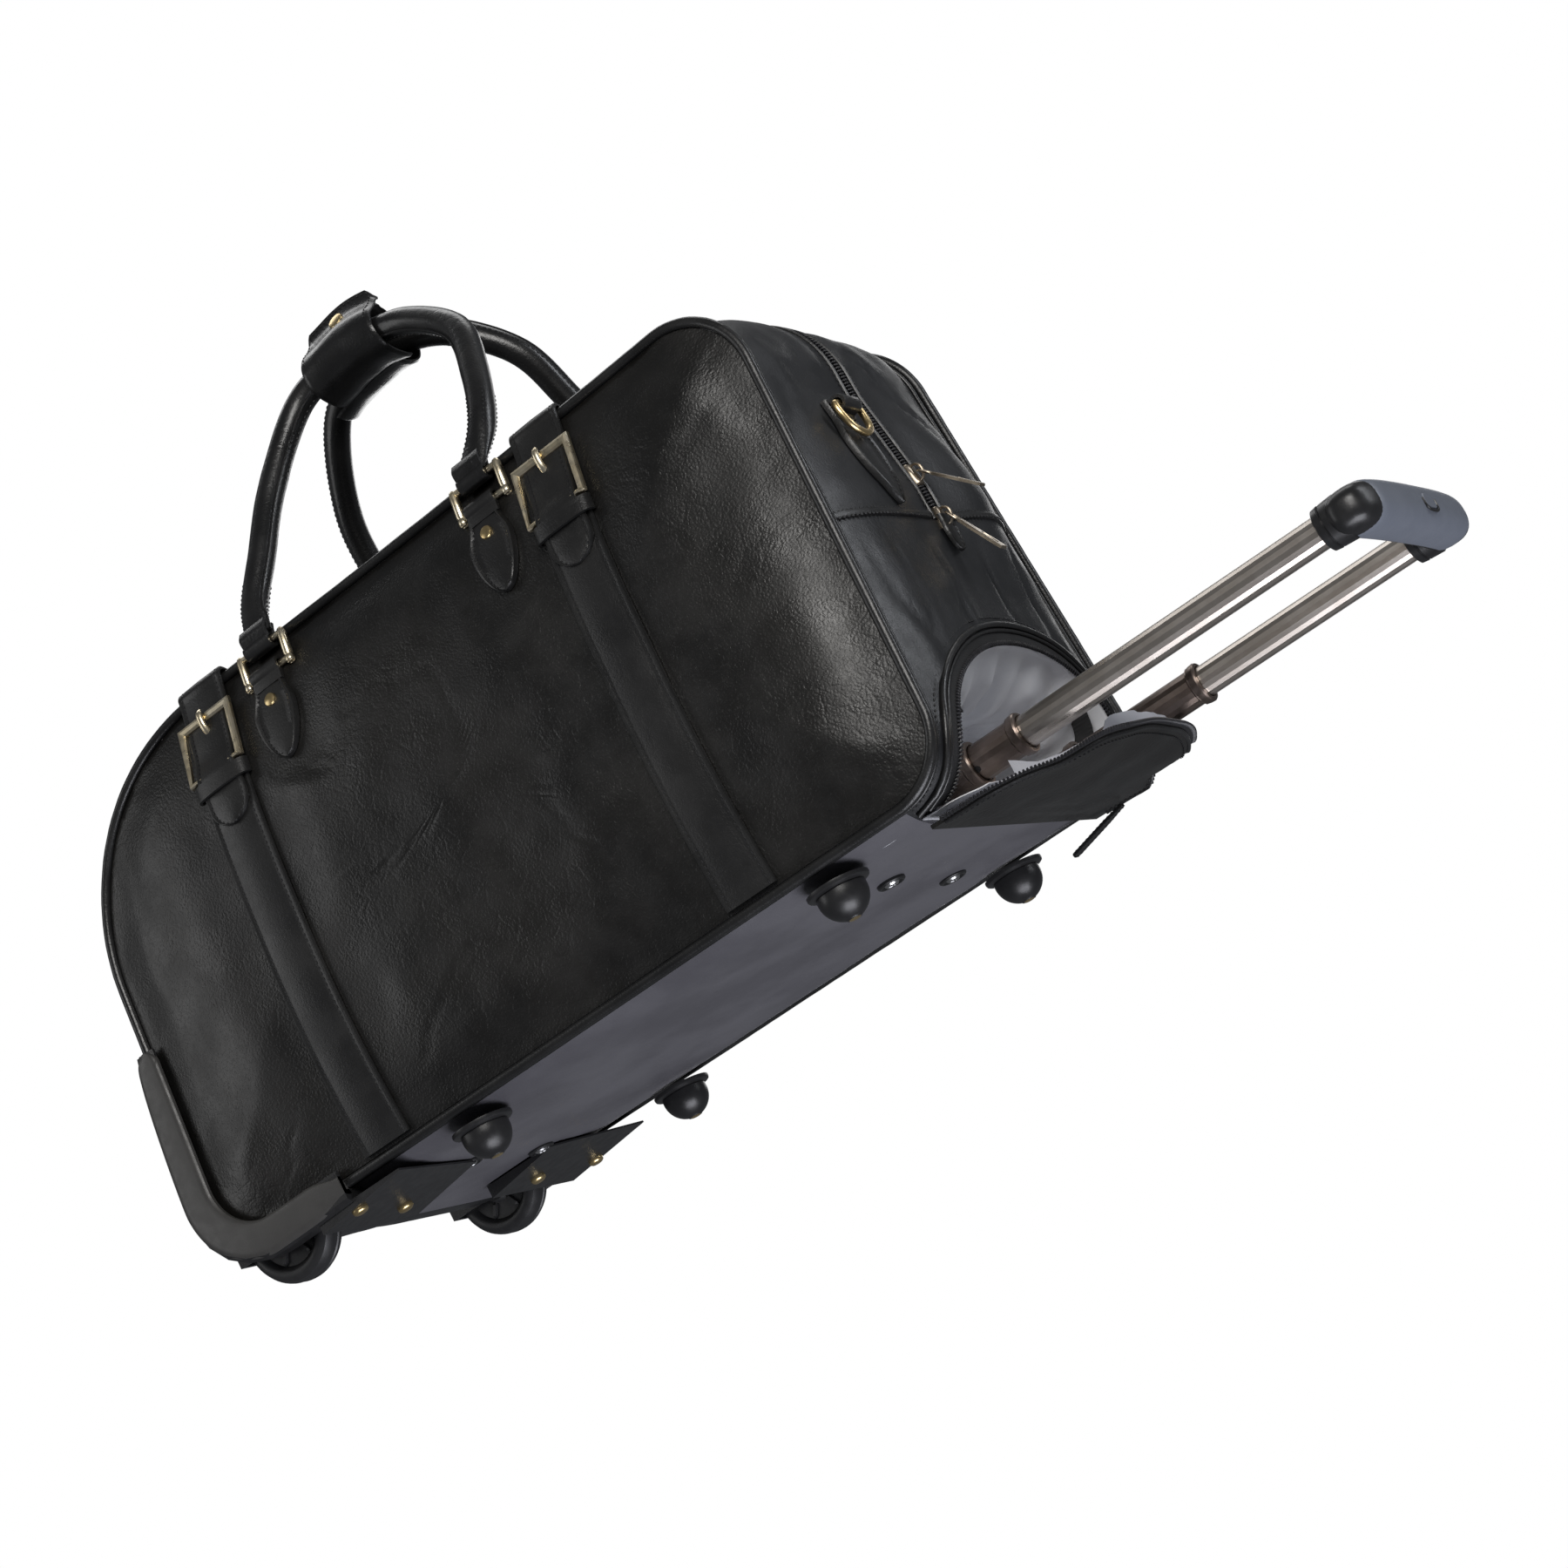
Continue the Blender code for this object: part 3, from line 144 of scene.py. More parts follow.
FLAP_HINGE_X = 0.2370
FLAP_HINGE_Z = 0.0198
FLAP_LENGTH = 0.099
FLAP_HALF_WIDTH = 0.1075
FLAP_DROOP = math.radians(2.0)
FLAP_STRAIGHT = 0.024
MOUTH_HALF_WIDTH = 0.111
MOUTH_TOP = 0.113
MOUTH_SPRING = 0.046
POCKET_BACK_X = 0.2020
POCKET_FLOOR_Z = 0.0262
WELL_Y = (0.0942, 0.140)
WELL_X = (-0.300, -0.2012)
WELL_Z = (-0.01, 0.0673)
LEAF_STEPS = 30
SCREW_X = (0.1704, -0.1546)
SCREW_Y = 0.0384
PLATE_RIVETS = ((-0.1865, 0.071), (-0.177, 0.126))
LOCK_PIN_BACK = 0.030
LINING_STEPS = 34
PULL_STAND_OFF = 0.0062
PULL_LENGTH = 0.039
PULL_TOPS = {"upper": (-0.001, 0.2155), "lower": (0.001, 0.1865)}
PULL_SWING = {"upper": 45.0, "lower": 28.0}
POCKET_PULL_TOP = (0.262, 0.0895, 0.0125)
POCKET_PULL_LENGTH = 0.042
POCKET_PULL_FALL = math.radians(14.0)

strap_low, strap_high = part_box("strap_front_handle_side")
X_AXIS, Y_AXIS, Z_AXIS = Matrix.Identity(3)
SHIFT = Vector(((strap_low[0] + strap_high[0]) / 2 - STRAP_X[1], 0, 0))


# ---- materials ---------------------------------------------------------------------------
class Look:
    """A procedural material, with short calls for the nodes that it is made of."""

    def __init__(self, name, slot, color, roughness, metallic=0.0, coat=0.0, coat_roughness=0.3):
        self.name = name
        self.slot = slot
        self.material = bpy.data.materials.new(name)
        self.material.use_nodes = True
        self.tree = self.material.node_tree
        self.shader = self.tree.nodes["Principled BSDF"]
        self.set("Base Color", (*color, 1.0))
        self.set("Roughness", roughness)
        self.set("Metallic", metallic)
        self.set("Coat Weight", coat)
        self.set("Coat Roughness", coat_roughness)
        self.place = self.tree.nodes.new("ShaderNodeTexCoord").outputs["Object"]
        self.normal = None

    def set(self, socket, value):
        if isinstance(value, bpy.types.NodeSocket):
            self.tree.links.new(value, self.shader.inputs[socket])
        else:
            self.shader.inputs[socket].default_value = value

    def node(self, kind, inputs, output=0, **settings):
        made = self.tree.nodes.new("ShaderNode" + kind)
        for key, value in settings.items():
            setattr(made, key, value)
        for key, value in inputs.items():
            if isinstance(value, bpy.types.NodeSocket):
                self.tree.links.new(value, made.inputs[key])
            else:
                made.inputs[key].default_value = value
        return made.outputs[output]

    def noise(self, scale, detail=3.0, roughness=0.55, place=None, output=0):
        inputs = {"Vector": place or self.place, "Scale": scale, "Detail": detail, "Roughness": roughness}
        return self.node("TexNoise", inputs, output)

    def cells(self, scale, feature="F1", place=None, output=0):
        inputs = {"Vector": place or self.place, "Scale": scale}
        return self.node("TexVoronoi", inputs, output, feature=feature)

    def ramp(self, value, low, high, out_low=0.0, out_high=1.0):
        inputs = {"Value": value, "From Min": low, "From Max": high, "To Min": out_low, "To Max": out_high}
        return self.node("MapRange", inputs, interpolation_type="SMOOTHSTEP")

    def math(self, operation, a, b):
        return self.node("Math", {0: a, 1: b}, operation=operation)

    def stretch(self, x, y, z):
        return self.node("Mapping", {"Vector": self.place, "Scale": (x, y, z)})

    def warped(self, scale, amount):
        """The place pushed about by noise, so that a pattern isn't regular."""
        push = self.node("VectorMath", {0: self.noise(scale, 2.0, output=1), 1: (0.5, 0.5, 0.5)},
                         operation="SUBTRACT")
        push = self.node("VectorMath", {0: push, "Scale": amount}, operation="SCALE")
        return self.node("VectorMath", {0: self.place, 1: push}, operation="ADD")

    def blend(self, factor, a, b):
        inputs = {0: factor, 6: (*a, 1.0), 7: (*b, 1.0)}
        return self.node("Mix", inputs, 2, data_type="RGBA")

    def bump(self, height, distance, strength=1.0):
        inputs = {"Height": height, "Distance": distance, "Strength": strength}
        if self.normal:
            inputs["Normal"] = self.normal
        self.normal = self.node("Bump", inputs)
        self.set("Normal", self.normal)


def leather(name, slot, dark, light, roughness, grain, crease, cell=620.0, coat=0.12, coat_roughness=0.22):
    look = Look(name, slot, dark, roughness, coat=coat, coat_roughness=coat_roughness)
    look.set("Specular IOR Level", 0.5)
    shade = look.ramp(look.noise(14.0, 4.0), 0.32, 0.68)
    look.set("Base Color", look.blend(shade, dark, light))
    patch = look.ramp(look.noise(38.0, 5.0, 0.6), 0.3, 0.7, roughness - 0.07, roughness + 0.08)
    pebbles = look.cells(cell, "F1", look.warped(300.0, 0.0020))
    pore = look.ramp(look.noise(2600.0, 2.0), 0.35, 0.7, 0.0, 0.05)
    look.set("Roughness", look.math("ADD", patch, pore))
    look.bump(look.noise(22.0, 3.0, 0.5), 0.0022, 0.28 * crease)
    veins = look.cells(85.0, "DISTANCE_TO_EDGE", look.warped(34.0, 0.020))
    veins = look.ramp(veins, 0.0, 0.14)
    where = look.ramp(look.noise(11.0, 3.0), 0.42, 0.60, 1.0, 0.0)
    look.bump(look.math("MAXIMUM", veins, where), 0.00020, 0.42 * crease)
    fine = look.cells(330.0, "DISTANCE_TO_EDGE", look.warped(150.0, 0.005))
    look.bump(look.ramp(fine, 0.0, 0.30), 0.00013, 0.42 * grain)
    look.bump(look.ramp(pebbles, 0.15, 0.75, 1.0, 0.0), 0.00012, 0.6 * grain)
    return look


def plastic(name, slot, dark, light, roughness, texture=900.0, depth=0.00006):
    look = Look(name, slot, dark, roughness)
    look.set("Base Color", look.blend(look.noise(60.0, 4.0), dark, light))
    look.set("Roughness", look.ramp(look.noise(150.0, 3.0), 0.3, 0.7, roughness - 0.05, roughness + 0.07))
    look.bump(look.noise(texture, 2.0), depth, 0.6)
    return look


def metal(name, slot, dark, light, roughness, brushed=None, worn=0.35):
    look = Look(name, slot, dark, roughness, metallic=1.0)
    look.set("Base Color", look.blend(look.ramp(look.noise(90.0, 3.0), worn, 0.72), dark, light))
    if brushed:
        streaks = look.noise(1.0, 2.0, 0.5, look.stretch(*brushed))
        look.set("Roughness", look.ramp(streaks, 0.3, 0.7, roughness - 0.02, roughness + 0.03))
    else:
        look.set("Roughness", look.ramp(look.noise(260.0, 2.0), 0.3, 0.7, roughness - 0.03, roughness + 0.05))
    return look


def woven(name, slot, dark, light, roughness, threads, depth, sheen=0.0):
    """A plain weave: two crossed sets of threads along the surface's own directions."""
    look = Look(name, slot, dark, roughness)
    look.set("Sheen Weight", sheen)
    across = look.node("TexWave", {"Vector": look.place, "Scale": threads, "Distortion": 0.4},
                       1, wave_type="BANDS", bands_direction="Y")
    along = look.node("TexWave", {"Vector": look.place, "Scale": threads, "Distortion": 0.4},
                      1, wave_type="BANDS", bands_direction="Z")
    weave = look.math("MULTIPLY", across, along)
    shade = look.math("MULTIPLY", look.ramp(look.noise(25.0, 3.0), 0.3, 0.7),
                      look.ramp(weave, 0.0, 1.0, 0.75, 1.0))
    look.set("Base Color", look.blend(shade, dark, light))
    look.bump(look.noise(60.0, 3.0), 0.0012, 0.3)
    look.bump(weave, depth, 0.5)
    return look


looks = (
    leather("leather", "leather", (0.0045, 0.0043, 0.0040), (0.0105, 0.0098, 0.0088), 0.37, 1.0, 1.0),
    leather("end_leather", "leather", (0.0070, 0.0075, 0.0085), (0.013, 0.0135, 0.015),
            0.42, 0.45, 0.5, cell=900.0, coat=0.05),
    # Painted sheen: the underside's black leather gets a pale grey-blue base colour that stands in for the
    # sheen it shows when lit from below; its grain and creases are real.
    leather("bottom_leather_painted_sheen", "leather", (0.074, 0.072, 0.082), (0.108, 0.106, 0.118),
            0.43, 0.55, 0.45, cell=700.0, coat=0.10, coat_roughness=0.35),
    leather("strap_leather", "leather_trim", (0.0075, 0.0075, 0.0076), (0.014, 0.0138, 0.0135),
            0.37, 0.5, 0.45, cell=950.0, coat=0.10),
    leather("handle_leather", "leather_trim", (0.006, 0.006, 0.0063), (0.012, 0.012, 0.0122),
            0.30, 0.55, 0.7, cell=760.0, coat=0.25, coat_roughness=0.18),
    leather("piping", "leather_trim", (0.006, 0.006, 0.0062), (0.012, 0.012, 0.012),
            0.33, 0.5, 0.4, cell=900.0, coat=0.2),
    woven("thread", "leather_trim", (0.006, 0.006, 0.0065), (0.018, 0.018, 0.019), 0.55, 500.0, 0.00005),
    woven("zip_tape", "zip_tape", (0.006, 0.006, 0.0065), (0.015, 0.015, 0.016), 0.75, 260.0, 0.0002),
    plastic("coil", "zip_tape", (0.018, 0.018, 0.020), (0.030, 0.030, 0.033), 0.30),
    woven("webbing", "zip_tape", (0.006, 0.006, 0.007), (0.016, 0.016, 0.017), 0.8, 150.0, 0.0003),
    woven("nylon", "leather", (0.74, 0.75, 0.79), (0.86, 0.87, 0.90), 0.45, 320.0, 0.00008, sheen=0.3),
    plastic("felt", "leather", (0.44, 0.45, 0.50), (0.56, 0.57, 0.62), 0.9, 1600.0, 0.0003),
    plastic("black_plastic", "black_plastic", (0.010, 0.010, 0.0105), (0.018, 0.018, 0.019), 0.34),
    plastic("rail_plastic", "black_plastic", (0.040, 0.039, 0.038), (0.060, 0.058, 0.055), 0.40,
            1300.0, 0.00008),
    plastic("tyre", "tyre", (0.012, 0.012, 0.013), (0.022, 0.022, 0.023), 0.42, 500.0, 0.00005),
    metal("brass", "brass", (0.80, 0.69, 0.48), (0.90, 0.81, 0.62), 0.30),
    metal("old_brass", "brass", (0.74, 0.56, 0.28), (0.86, 0.69, 0.38), 0.30),
    metal("gunmetal", "brass", (0.36, 0.30, 0.23), (0.50, 0.43, 0.33), 0.33),
    metal("tube_metal", "tube_metal", (0.62, 0.56, 0.50), (0.72, 0.66, 0.60), 0.29,
          brushed=(4.0, 120.0, 120.0)),
    metal("dark_tube_metal", "dark_tube_metal", (0.22, 0.175, 0.15), (0.29, 0.235, 0.205), 0.33,
          brushed=(4.0, 120.0, 120.0)),
    metal("steel", "steel", (0.55, 0.55, 0.56), (0.75, 0.75, 0.76), 0.22),
    plastic("grip_grey", "grip_grey", (0.135, 0.150, 0.185), (0.17, 0.185, 0.22), 0.42, 1500.0, 0.00006),
    plastic("board", "board", (0.05, 0.05, 0.055), (0.08, 0.08, 0.085), 0.8, 400.0, 0.0002),
)
looks = {look.name: look for look in looks}


# ---- building blocks ---------------------------------------------------------------------
def add_piece(name, bm, look, body="bag", replaces=(), smooth=40.0):
    """Turn a bmesh in the bag's frame into a piece that rides on a body."""
    bmesh.ops.recalc_face_normals(bm, faces=bm.faces)
    mesh = bpy.data.meshes.new(name)
    bm.to_mesh(mesh)
    bm.free()
    mesh.transform(Matrix.Translation(SHIFT))
    mesh.shade_smooth()
    mesh.set_sharp_from_angle(angle=math.radians(smooth))
    mesh.materials.append(looks[look].material)
    piece = bpy.data.objects.new(name, mesh)
    bpy.context.collection.objects.link(piece)
    if body:
        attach(piece, body)
    if replaces:
        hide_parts(*replaces)
    return piece


def make_piece(name, look, body, add, *shape, replaces=(), smooth=40.0, **settings):
    """A piece that is made by one call of a building block."""
    bm = bmesh.new()
    add(bm, *shape, **settings)
    return add_piece(name, bm, look, body, replaces, smooth)


def settle(piece, *tools):
    """Apply a piece's modifiers and remove the objects that they used."""
    mesh = bpy.data.meshes.new_from_object(piece.evaluated_get(bpy.context.evaluated_depsgraph_get()))
    piece.modifiers.clear()
    piece.data = mesh
    for tool in tools:
        bpy.data.objects.remove(tool)


def cut(piece, *tools):
    """Take the shapes of the tools out of a piece, and remove the tools."""
    for tool in tools:
        step = piece.modifiers.new("cut", "BOOLEAN")
        step.operation = "DIFFERENCE"
        step.solver = "EXACT"
        step.object = tool
    settle(piece, *tools)


def add_grid(bm, rows, closed=False):
    """Faces over rows of points; closed joins each row's ends. Returns the rows of verts."""
    verts = [[bm.verts.new(point) for point in row] for row in rows]
    for here, after in zip(verts, verts[1:]):
        count = len(here)
        for j in range(count if closed else count - 1):
            k = (j + 1) % count
            bm.faces.new((here[j], after[j], after[k], here[k]))
    return verts


def add_shell(bm, outer, inner):
    """A closed sheet between two equal grids of points."""
    top = add_grid(bm, outer)
    under = add_grid(bm, inner)
    add_ring(bm, border(top), border(under))


def add_capped(bm, rows):
    """A closed tube of faces over rows of points, with a face at each end."""
    verts = add_grid(bm, rows, closed=True)
    bm.faces.new(verts[0])
    bm.faces.new(list(reversed(verts[-1])))


def add_disc(bm, rows, middle):
    """Closed rings of points that end in a fan round a middle point. Returns the rim's verts."""
    verts = add_grid(bm, rows, closed=True)
    centre = bm.verts.new(middle)
    add_ring(bm, verts[-1], [centre] * len(verts[-1]))
    return verts[0]


def add_ring(bm, first, second):
    """Faces between two closed rings of verts, or between a ring and one repeated vert."""
    for j in range(len(first)):
        k = (j + 1) % len(first)
        corners = (first[j], first[k], second[k], second[j])
        bm.faces.new(corners if second[j] is not second[k] else corners[:3])


def border(rows):
    """The verts round the edge of a grid, in order."""
    rim = list(rows[0])
    rim += [row[-1] for row in rows[1:]]
    rim += list(reversed(rows[-1]))[1:]
    rim += [row[0] for row in reversed(rows[1:-1])]
    return rim


def add_sweep(bm, frames, section, closed=False):
    """Sweep a section, a list of (a, b), along frames of (origin, a axis, b axis)."""
    rows = [[origin + axis_a * a + axis_b * b for a, b in section] for origin, axis_a, axis_b in frames]
    if not closed:
        add_capped(bm, rows)
        return
    verts = add_grid(bm, rows, closed=True)
    for j in range(len(section)):
        k = (j + 1) % len(section)
        bm.faces.new((verts[-1][j], verts[0][j], verts[0][k], verts[-1][k]))


def add_wire_loop(bm, points, side, radius, sides, steps):
    """A closed loop of round wire through given points."""
    frames = path_frames(smooth_curve(points, steps, closed=True), side, closed=True)
    add_sweep(bm, frames, circle(radius, sides), closed=True)


def add_turned(bm, profile, place, axis, sides, closed=False):
    """Turn a profile of (distance along the axis, radius) round an axis through place."""
    axis = Vector(axis).normalized()
    first = Z_AXIS if abs(axis.z) < 0.7 else X_AXIS
    first = (first - axis * first.dot(axis)).normalized()
    second = axis.cross(first)
    rings = []
    for along, radius in profile:
        centre = Vector(place) + axis * along
        if radius == 0:
            rings.append([bm.verts.new(centre)])
            continue
        turns = [2 * math.pi * i / sides for i in range(sides)]
        ring = [centre + (first * math.cos(a) + second * math.sin(a)) * radius for a in turns]
        rings.append([bm.verts.new(point) for point in ring])
    pairs = list(zip(rings, rings[1:]))
    if closed:
        pairs.append((rings[-1], rings[0]))
    for here, after in pairs:
        for i in range(sides):
            k = (i + 1) % sides
            corners = [here[i % len(here)], here[k % len(here)], after[k % len(after)], after[i % len(after)]]
            bm.faces.new([c for n, c in enumerate(corners) if c not in corners[:n]])


def circle(radius, sides, start=0.0):
    angles = [2 * math.pi * (i + start) / sides for i in range(sides)]
    return [(radius * math.cos(a), radius * math.sin(a)) for a in angles]


def arc(centre_a, centre_b, radius_a, radius_b, start, end, steps):
    angles = [math.radians(start + (end - start) * i / steps) for i in range(steps + 1)]
    return [(centre_a + radius_a * math.cos(a), centre_b + radius_b * math.sin(a)) for a in angles]


def turn_round(centre, first, second, radius, start, end, steps):
    """Points round a bar, from one angle to another in degrees; first lies at 0 and second at 90."""
    angles = [math.radians(angle) for angle in spread(start, end, steps)]
    return [centre + (first * math.cos(a) + second * math.sin(a)) * radius for a in angles]


def strip_section(half, inner):
    """The section of a thin leather strip, a little thicker between its two edges."""
    return [(-0.0009, -half), (0.0009, -half), (0.0012, -inner),
            (0.0012, inner), (0.0009, half), (-0.0009, half)]


def both_sides(points):
    """A list of (a, b), followed by its mirror image in the other order."""
    return points + [(-a, b) for a, b in reversed(points)]


def spread(start, end, steps):
    return [start + (end - start) * i / steps for i in range(steps + 1)]


def ease(value, low, high):
    """0 up to low and 1 from high on, with a smooth rise between them."""
    share = min(max((value - low) / (high - low), 0.0), 1.0)
    return share * share * (3 - 2 * share)


def smooth_curve(points, steps, closed=False):
    """A Catmull-Rom curve through given points."""
    points = [Vector(point) for point in points]
    if closed:
        padded = [points[-1]] + points + points[:2]
    else:
        padded = [points[0] * 2 - points[1]] + points + [points[-1] * 2 - points[-2]]
    curve = []
    for i in range(1, len(padded) - 2):
        a, b, c, d = padded[i - 1:i + 3]
        for k in range(steps):
            t = k / steps
            point = b * 2 + (c - a) * t + (a * 2 - b * 5 + c * 4 - d) * t * t
            curve.append((point + (b * 3 - a - c * 3 + d) * t ** 3) * 0.5)
    if not closed:
        curve.append(points[-1])
    return curve


def path_frames(points, side, closed=False):
    """Frames along a path: the a axis lies across it, the b axis is side."""
    frames = []
    count = len(points)
    for i, point in enumerate(points):
        before = points[i - 1] if closed or i > 0 else point
        after = points[(i + 1) % count] if closed or i < count - 1 else point
        along = (after - before).normalized()
        across = side.cross(along).normalized()
        turn = 1.0
        if point is not before and point is not after:
            turn = 1.0 / max(0.5, (point - before).normalized().dot(along))
        frames.append((point, across * turn, side))
    return frames


def tangents(points):
    """The way along an open path at each of its points."""
    last = len(points) - 1
    return [(points[min(i + 1, last)] - points[max(i - 1, 0)]).normalized() for i in range(last + 1)]


def distances(points):
    """How far along a path each of its points is."""
    lengths = [0.0]
    for a, b in zip(points, points[1:]):
        lengths.append(lengths[-1] + (b - a).length)
    return lengths


def free_frames(points, up):
    """Frames along a bending path, with the b axis kept as near up as it can be."""
    frames = []
    for point, along in zip(points, tangents(points)):
        across = along.cross(up).normalized()
        frames.append((point, across, across.cross(along).normalized()))
    return frames


def resample(points, outs, pitch):
    """Evenly spaced points along a polyline, with the way out and the way along at each."""
    lengths = distances(points)
    count = max(int(lengths[-1] / pitch), 1)
    made = []
    i = 0
    for n in range(count):
        target = (n + 0.5) * lengths[-1] / count
        while i < len(points) - 2 and lengths[i + 1] < target:
            i += 1
        part = (target - lengths[i]) / max(lengths[i + 1] - lengths[i], 1e-9)
        along = (points[i + 1] - points[i]).normalized()
        out = outs[i].lerp(outs[i + 1], part).normalized()
        made.append((points[i].lerp(points[i + 1], part), out, along))
    return made


def add_bead(bm, centre, along, out, length, width, height):
    """A small rounded stitch or tooth."""
    across = along.cross(out).normalized()
    ends = [bm.verts.new(centre - along * length / 2), bm.verts.new(centre + along * length / 2)]
    rings = []
    for place in (-0.27, 0.27):
        middle = centre + along * length * place
        rings.append([bm.verts.new(middle + across * a * width / 2 + out * b * height)
                      for a, b in ((-1, 0), (-0.6, 0.9), (0.6, 0.9), (1, 0), (0, -0.7))])
    for j in range(5):
        k = (j + 1) % 5
        bm.faces.new((rings[0][j], rings[0][k], rings[1][k], rings[1][j]))
        bm.faces.new((rings[0][k], rings[0][j], ends[0]))
        bm.faces.new((rings[1][j], rings[1][k], ends[1]))


def add_stitches(bm, points, outs, pitch=0.0038, thickness=0.0009, share=0.68, slant=0.0):
    for centre, out, along in resample(points, outs, pitch):
        way = (along + along.cross(out).normalized() * slant).normalized()
        add_bead(bm, centre, way, out, pitch * share, thickness, thickness * 0.5)


# ---- the bag's outline and surfaces, repeated from part.py -------------------------------
def half_depth(x, z):
    share = (z - SEAM_LOW) / (SEAM_TOP - SEAM_LOW)
    sag = TOP_SAG * max(share, 0.0) ** 12 * max(1 - (x / 0.235) ** 2, 0.0)
    return HALF_DEPTH_LOW + (HALF_DEPTH_TOP - HALF_DEPTH_LOW) * share - sag


def corner(cx, cz, radius, start, steps):
    samples = []
    for angle in spread(start, start + 90.0, steps):
        nx = math.cos(math.radians(angle))
        nz = math.sin(math.radians(angle))
        samples.append((cx + radius * nx, cz + radius * nz, nx, nz))
    return samples


def straight(start, end, steps):
    return [(start[0] + (end[0] - start[0]) * i / steps, start[1] + (end[1] - start[1]) * i / steps,
             start[2], start[3]) for i in range(1, steps)]


def make_outline(fine):
    """The seam outline, anticlockwise seen from the front, and where its stretches begin."""
    low_handle = corner(HANDLE_END_X - RADIUS_LOW_HANDLE, SEAM_LOW + RADIUS_LOW_HANDLE,
                        RADIUS_LOW_HANDLE, -90, 5 * fine)
    top_handle = corner(HANDLE_END_X - RADIUS_TOP_HANDLE, SEAM_TOP - RADIUS_TOP_HANDLE,
                        RADIUS_TOP_HANDLE, 0, 5 * fine)
    top_wheel = corner(WHEEL_END_X + RADIUS_TOP_WHEEL, SEAM_TOP - RADIUS_TOP_WHEEL,
                       RADIUS_TOP_WHEEL, 90, 8 * fine)
    low_wheel = corner(WHEEL_END_X + RADIUS_LOW_WHEEL, SEAM_LOW + RADIUS_LOW_WHEEL,
                       RADIUS_LOW_WHEEL, 180, 5 * fine)
    handle_seam = (HANDLE_END_X, END_SEAM_Z, 1.0, 0.0)
    wheel_seam = (WHEEL_END_X, END_SEAM_Z, -1.0, 0.0)
    samples = low_handle + straight(low_handle[-1], handle_seam, 5 * fine)
    marks = {"low_handle": 0, "handle_seam": len(samples)}
    samples += [handle_seam] + straight(handle_seam, top_handle[0], 5 * fine) + top_handle
    samples += straight(top_handle[-1], top_wheel[0], 14 * fine) + top_wheel
    marks["wheel_seam"] = len(samples)
    samples += [wheel_seam] + straight(wheel_seam, low_wheel[0], 5 * fine) + low_wheel
    marks["low_wheel"] = len(samples) - 1
    samples += straight(low_wheel[-1], low_handle[0], 18 * fine)
    return samples, marks


def crown(share, z, nx, nz):
    """How far the gusset stands out past the seam outline at a share of its half depth."""
    top = max(nz, 0.0) ** 2 * CROWN_TOP * (1 - share ** 2)
    low = max(-nz, 0.0) ** 2 * CROWN_BOTTOM * (1 - share ** 8)
    slack = 1.0
    if nx > 0:
        slack = 1 - 0.65 * min(max((z - 0.205) / 0.070, 0.0), 1.0)
    end = nx ** 2 * CROWN_END * slack * (1 - share ** 4)
    if nx > 0 and share > 0:
        height = max(min((z - 0.120) / 0.190, 1.0), 0.0)
        end += nx ** 2 * CROWN_BACK * math.sin(math.pi * share) ** 2 * math.sin(math.pi * height) ** 2
    return top + low + end


def edge_distance(x, z):
    """Distance from a point of the front panel to its seam."""
    right = x > 0
    high = z > (SEAM_LOW + SEAM_TOP) / 2
    if high:
        radius = RADIUS_TOP_HANDLE if right else RADIUS_TOP_WHEEL
    else:
        radius = RADIUS_LOW_HANDLE if right else RADIUS_LOW_WHEEL
    dx = (HANDLE_END_X - x) if right else (x - WHEEL_END_X)
    dz = (SEAM_TOP - z) if high else (z - SEAM_LOW)
    if dx < radius and dz < radius:
        return radius - math.hypot(radius - dx, radius - dz)
    return min(dx, dz)


def panel_depth(x, z):
    share = min(max(edge_distance(x, z), 0.0) / BULGE_REACH, 1.0)
    return half_depth(x, z) + PANEL_BULGE * (1 - (1 - share) ** 2.2)


def end_reach(end, y, z):
    """How far an end of the bag reaches along X at a given Y and Z on its flat or rounded part."""
    if end > 0:
        seam = HANDLE_END_X
        radius = RADIUS_TOP_HANDLE
    else:
        seam = -WHEEL_END_X
        radius = RADIUS_TOP_WHEEL
    share = max(min(end * y * end / half_depth(end * seam, z), 1.0), -1.0)
    above = z - (SEAM_TOP - radius)
    if above <= 0:
        return seam + crown(share, z, end, 0.0)
    nz = min(above / (radius + CROWN_END * 0.8), 1.0)
    nx = math.sqrt(1 - nz * nz)
    reach = radius + crown(share, z, end * nx, nz)
    return seam - radius + reach * math.sqrt(max(1 - (above / reach) ** 2, 0.0))


def gusset_point(sample, share, inset=0.0):
    x, z, nx, nz = sample
    out = crown(share, z, nx, nz) - inset
    return Vector((x + nx * out, share * (half_depth(x, z) - GAP), z + nz * out))


def panel_frame(x, z, side, lift):
    """A point over the front or back panel, with its up and out directions."""
    step = 0.004
    here = panel_depth(x, z) + LEATHER
    slope = (panel_depth(x, z + step) - panel_depth(x, z - step)) / (2 * step)
    up = Vector((0, side * slope, 1)).normalized()
    out = Vector((0, side, -slope)).normalized()
    return Vector((x, side * here, z)) + out * lift, up, out


# ---- leather skins -----------------------------------------------------------------------
outline, marks = make_outline(4)


def rumple(point, size, depth, seed=0.0):
    return noise.fractal(point / size + Vector((seed, seed * 0.7, 0)), 1.0, 2.0, 3) * depth


def fold(point, size, width, depth, seed=0.0):
    """A thin meandering crease, as a negative height."""
    value = abs(noise.noise(point / size + Vector((seed, 0, seed))))
    return -depth * max(1 - value / width, 0.0) ** 2


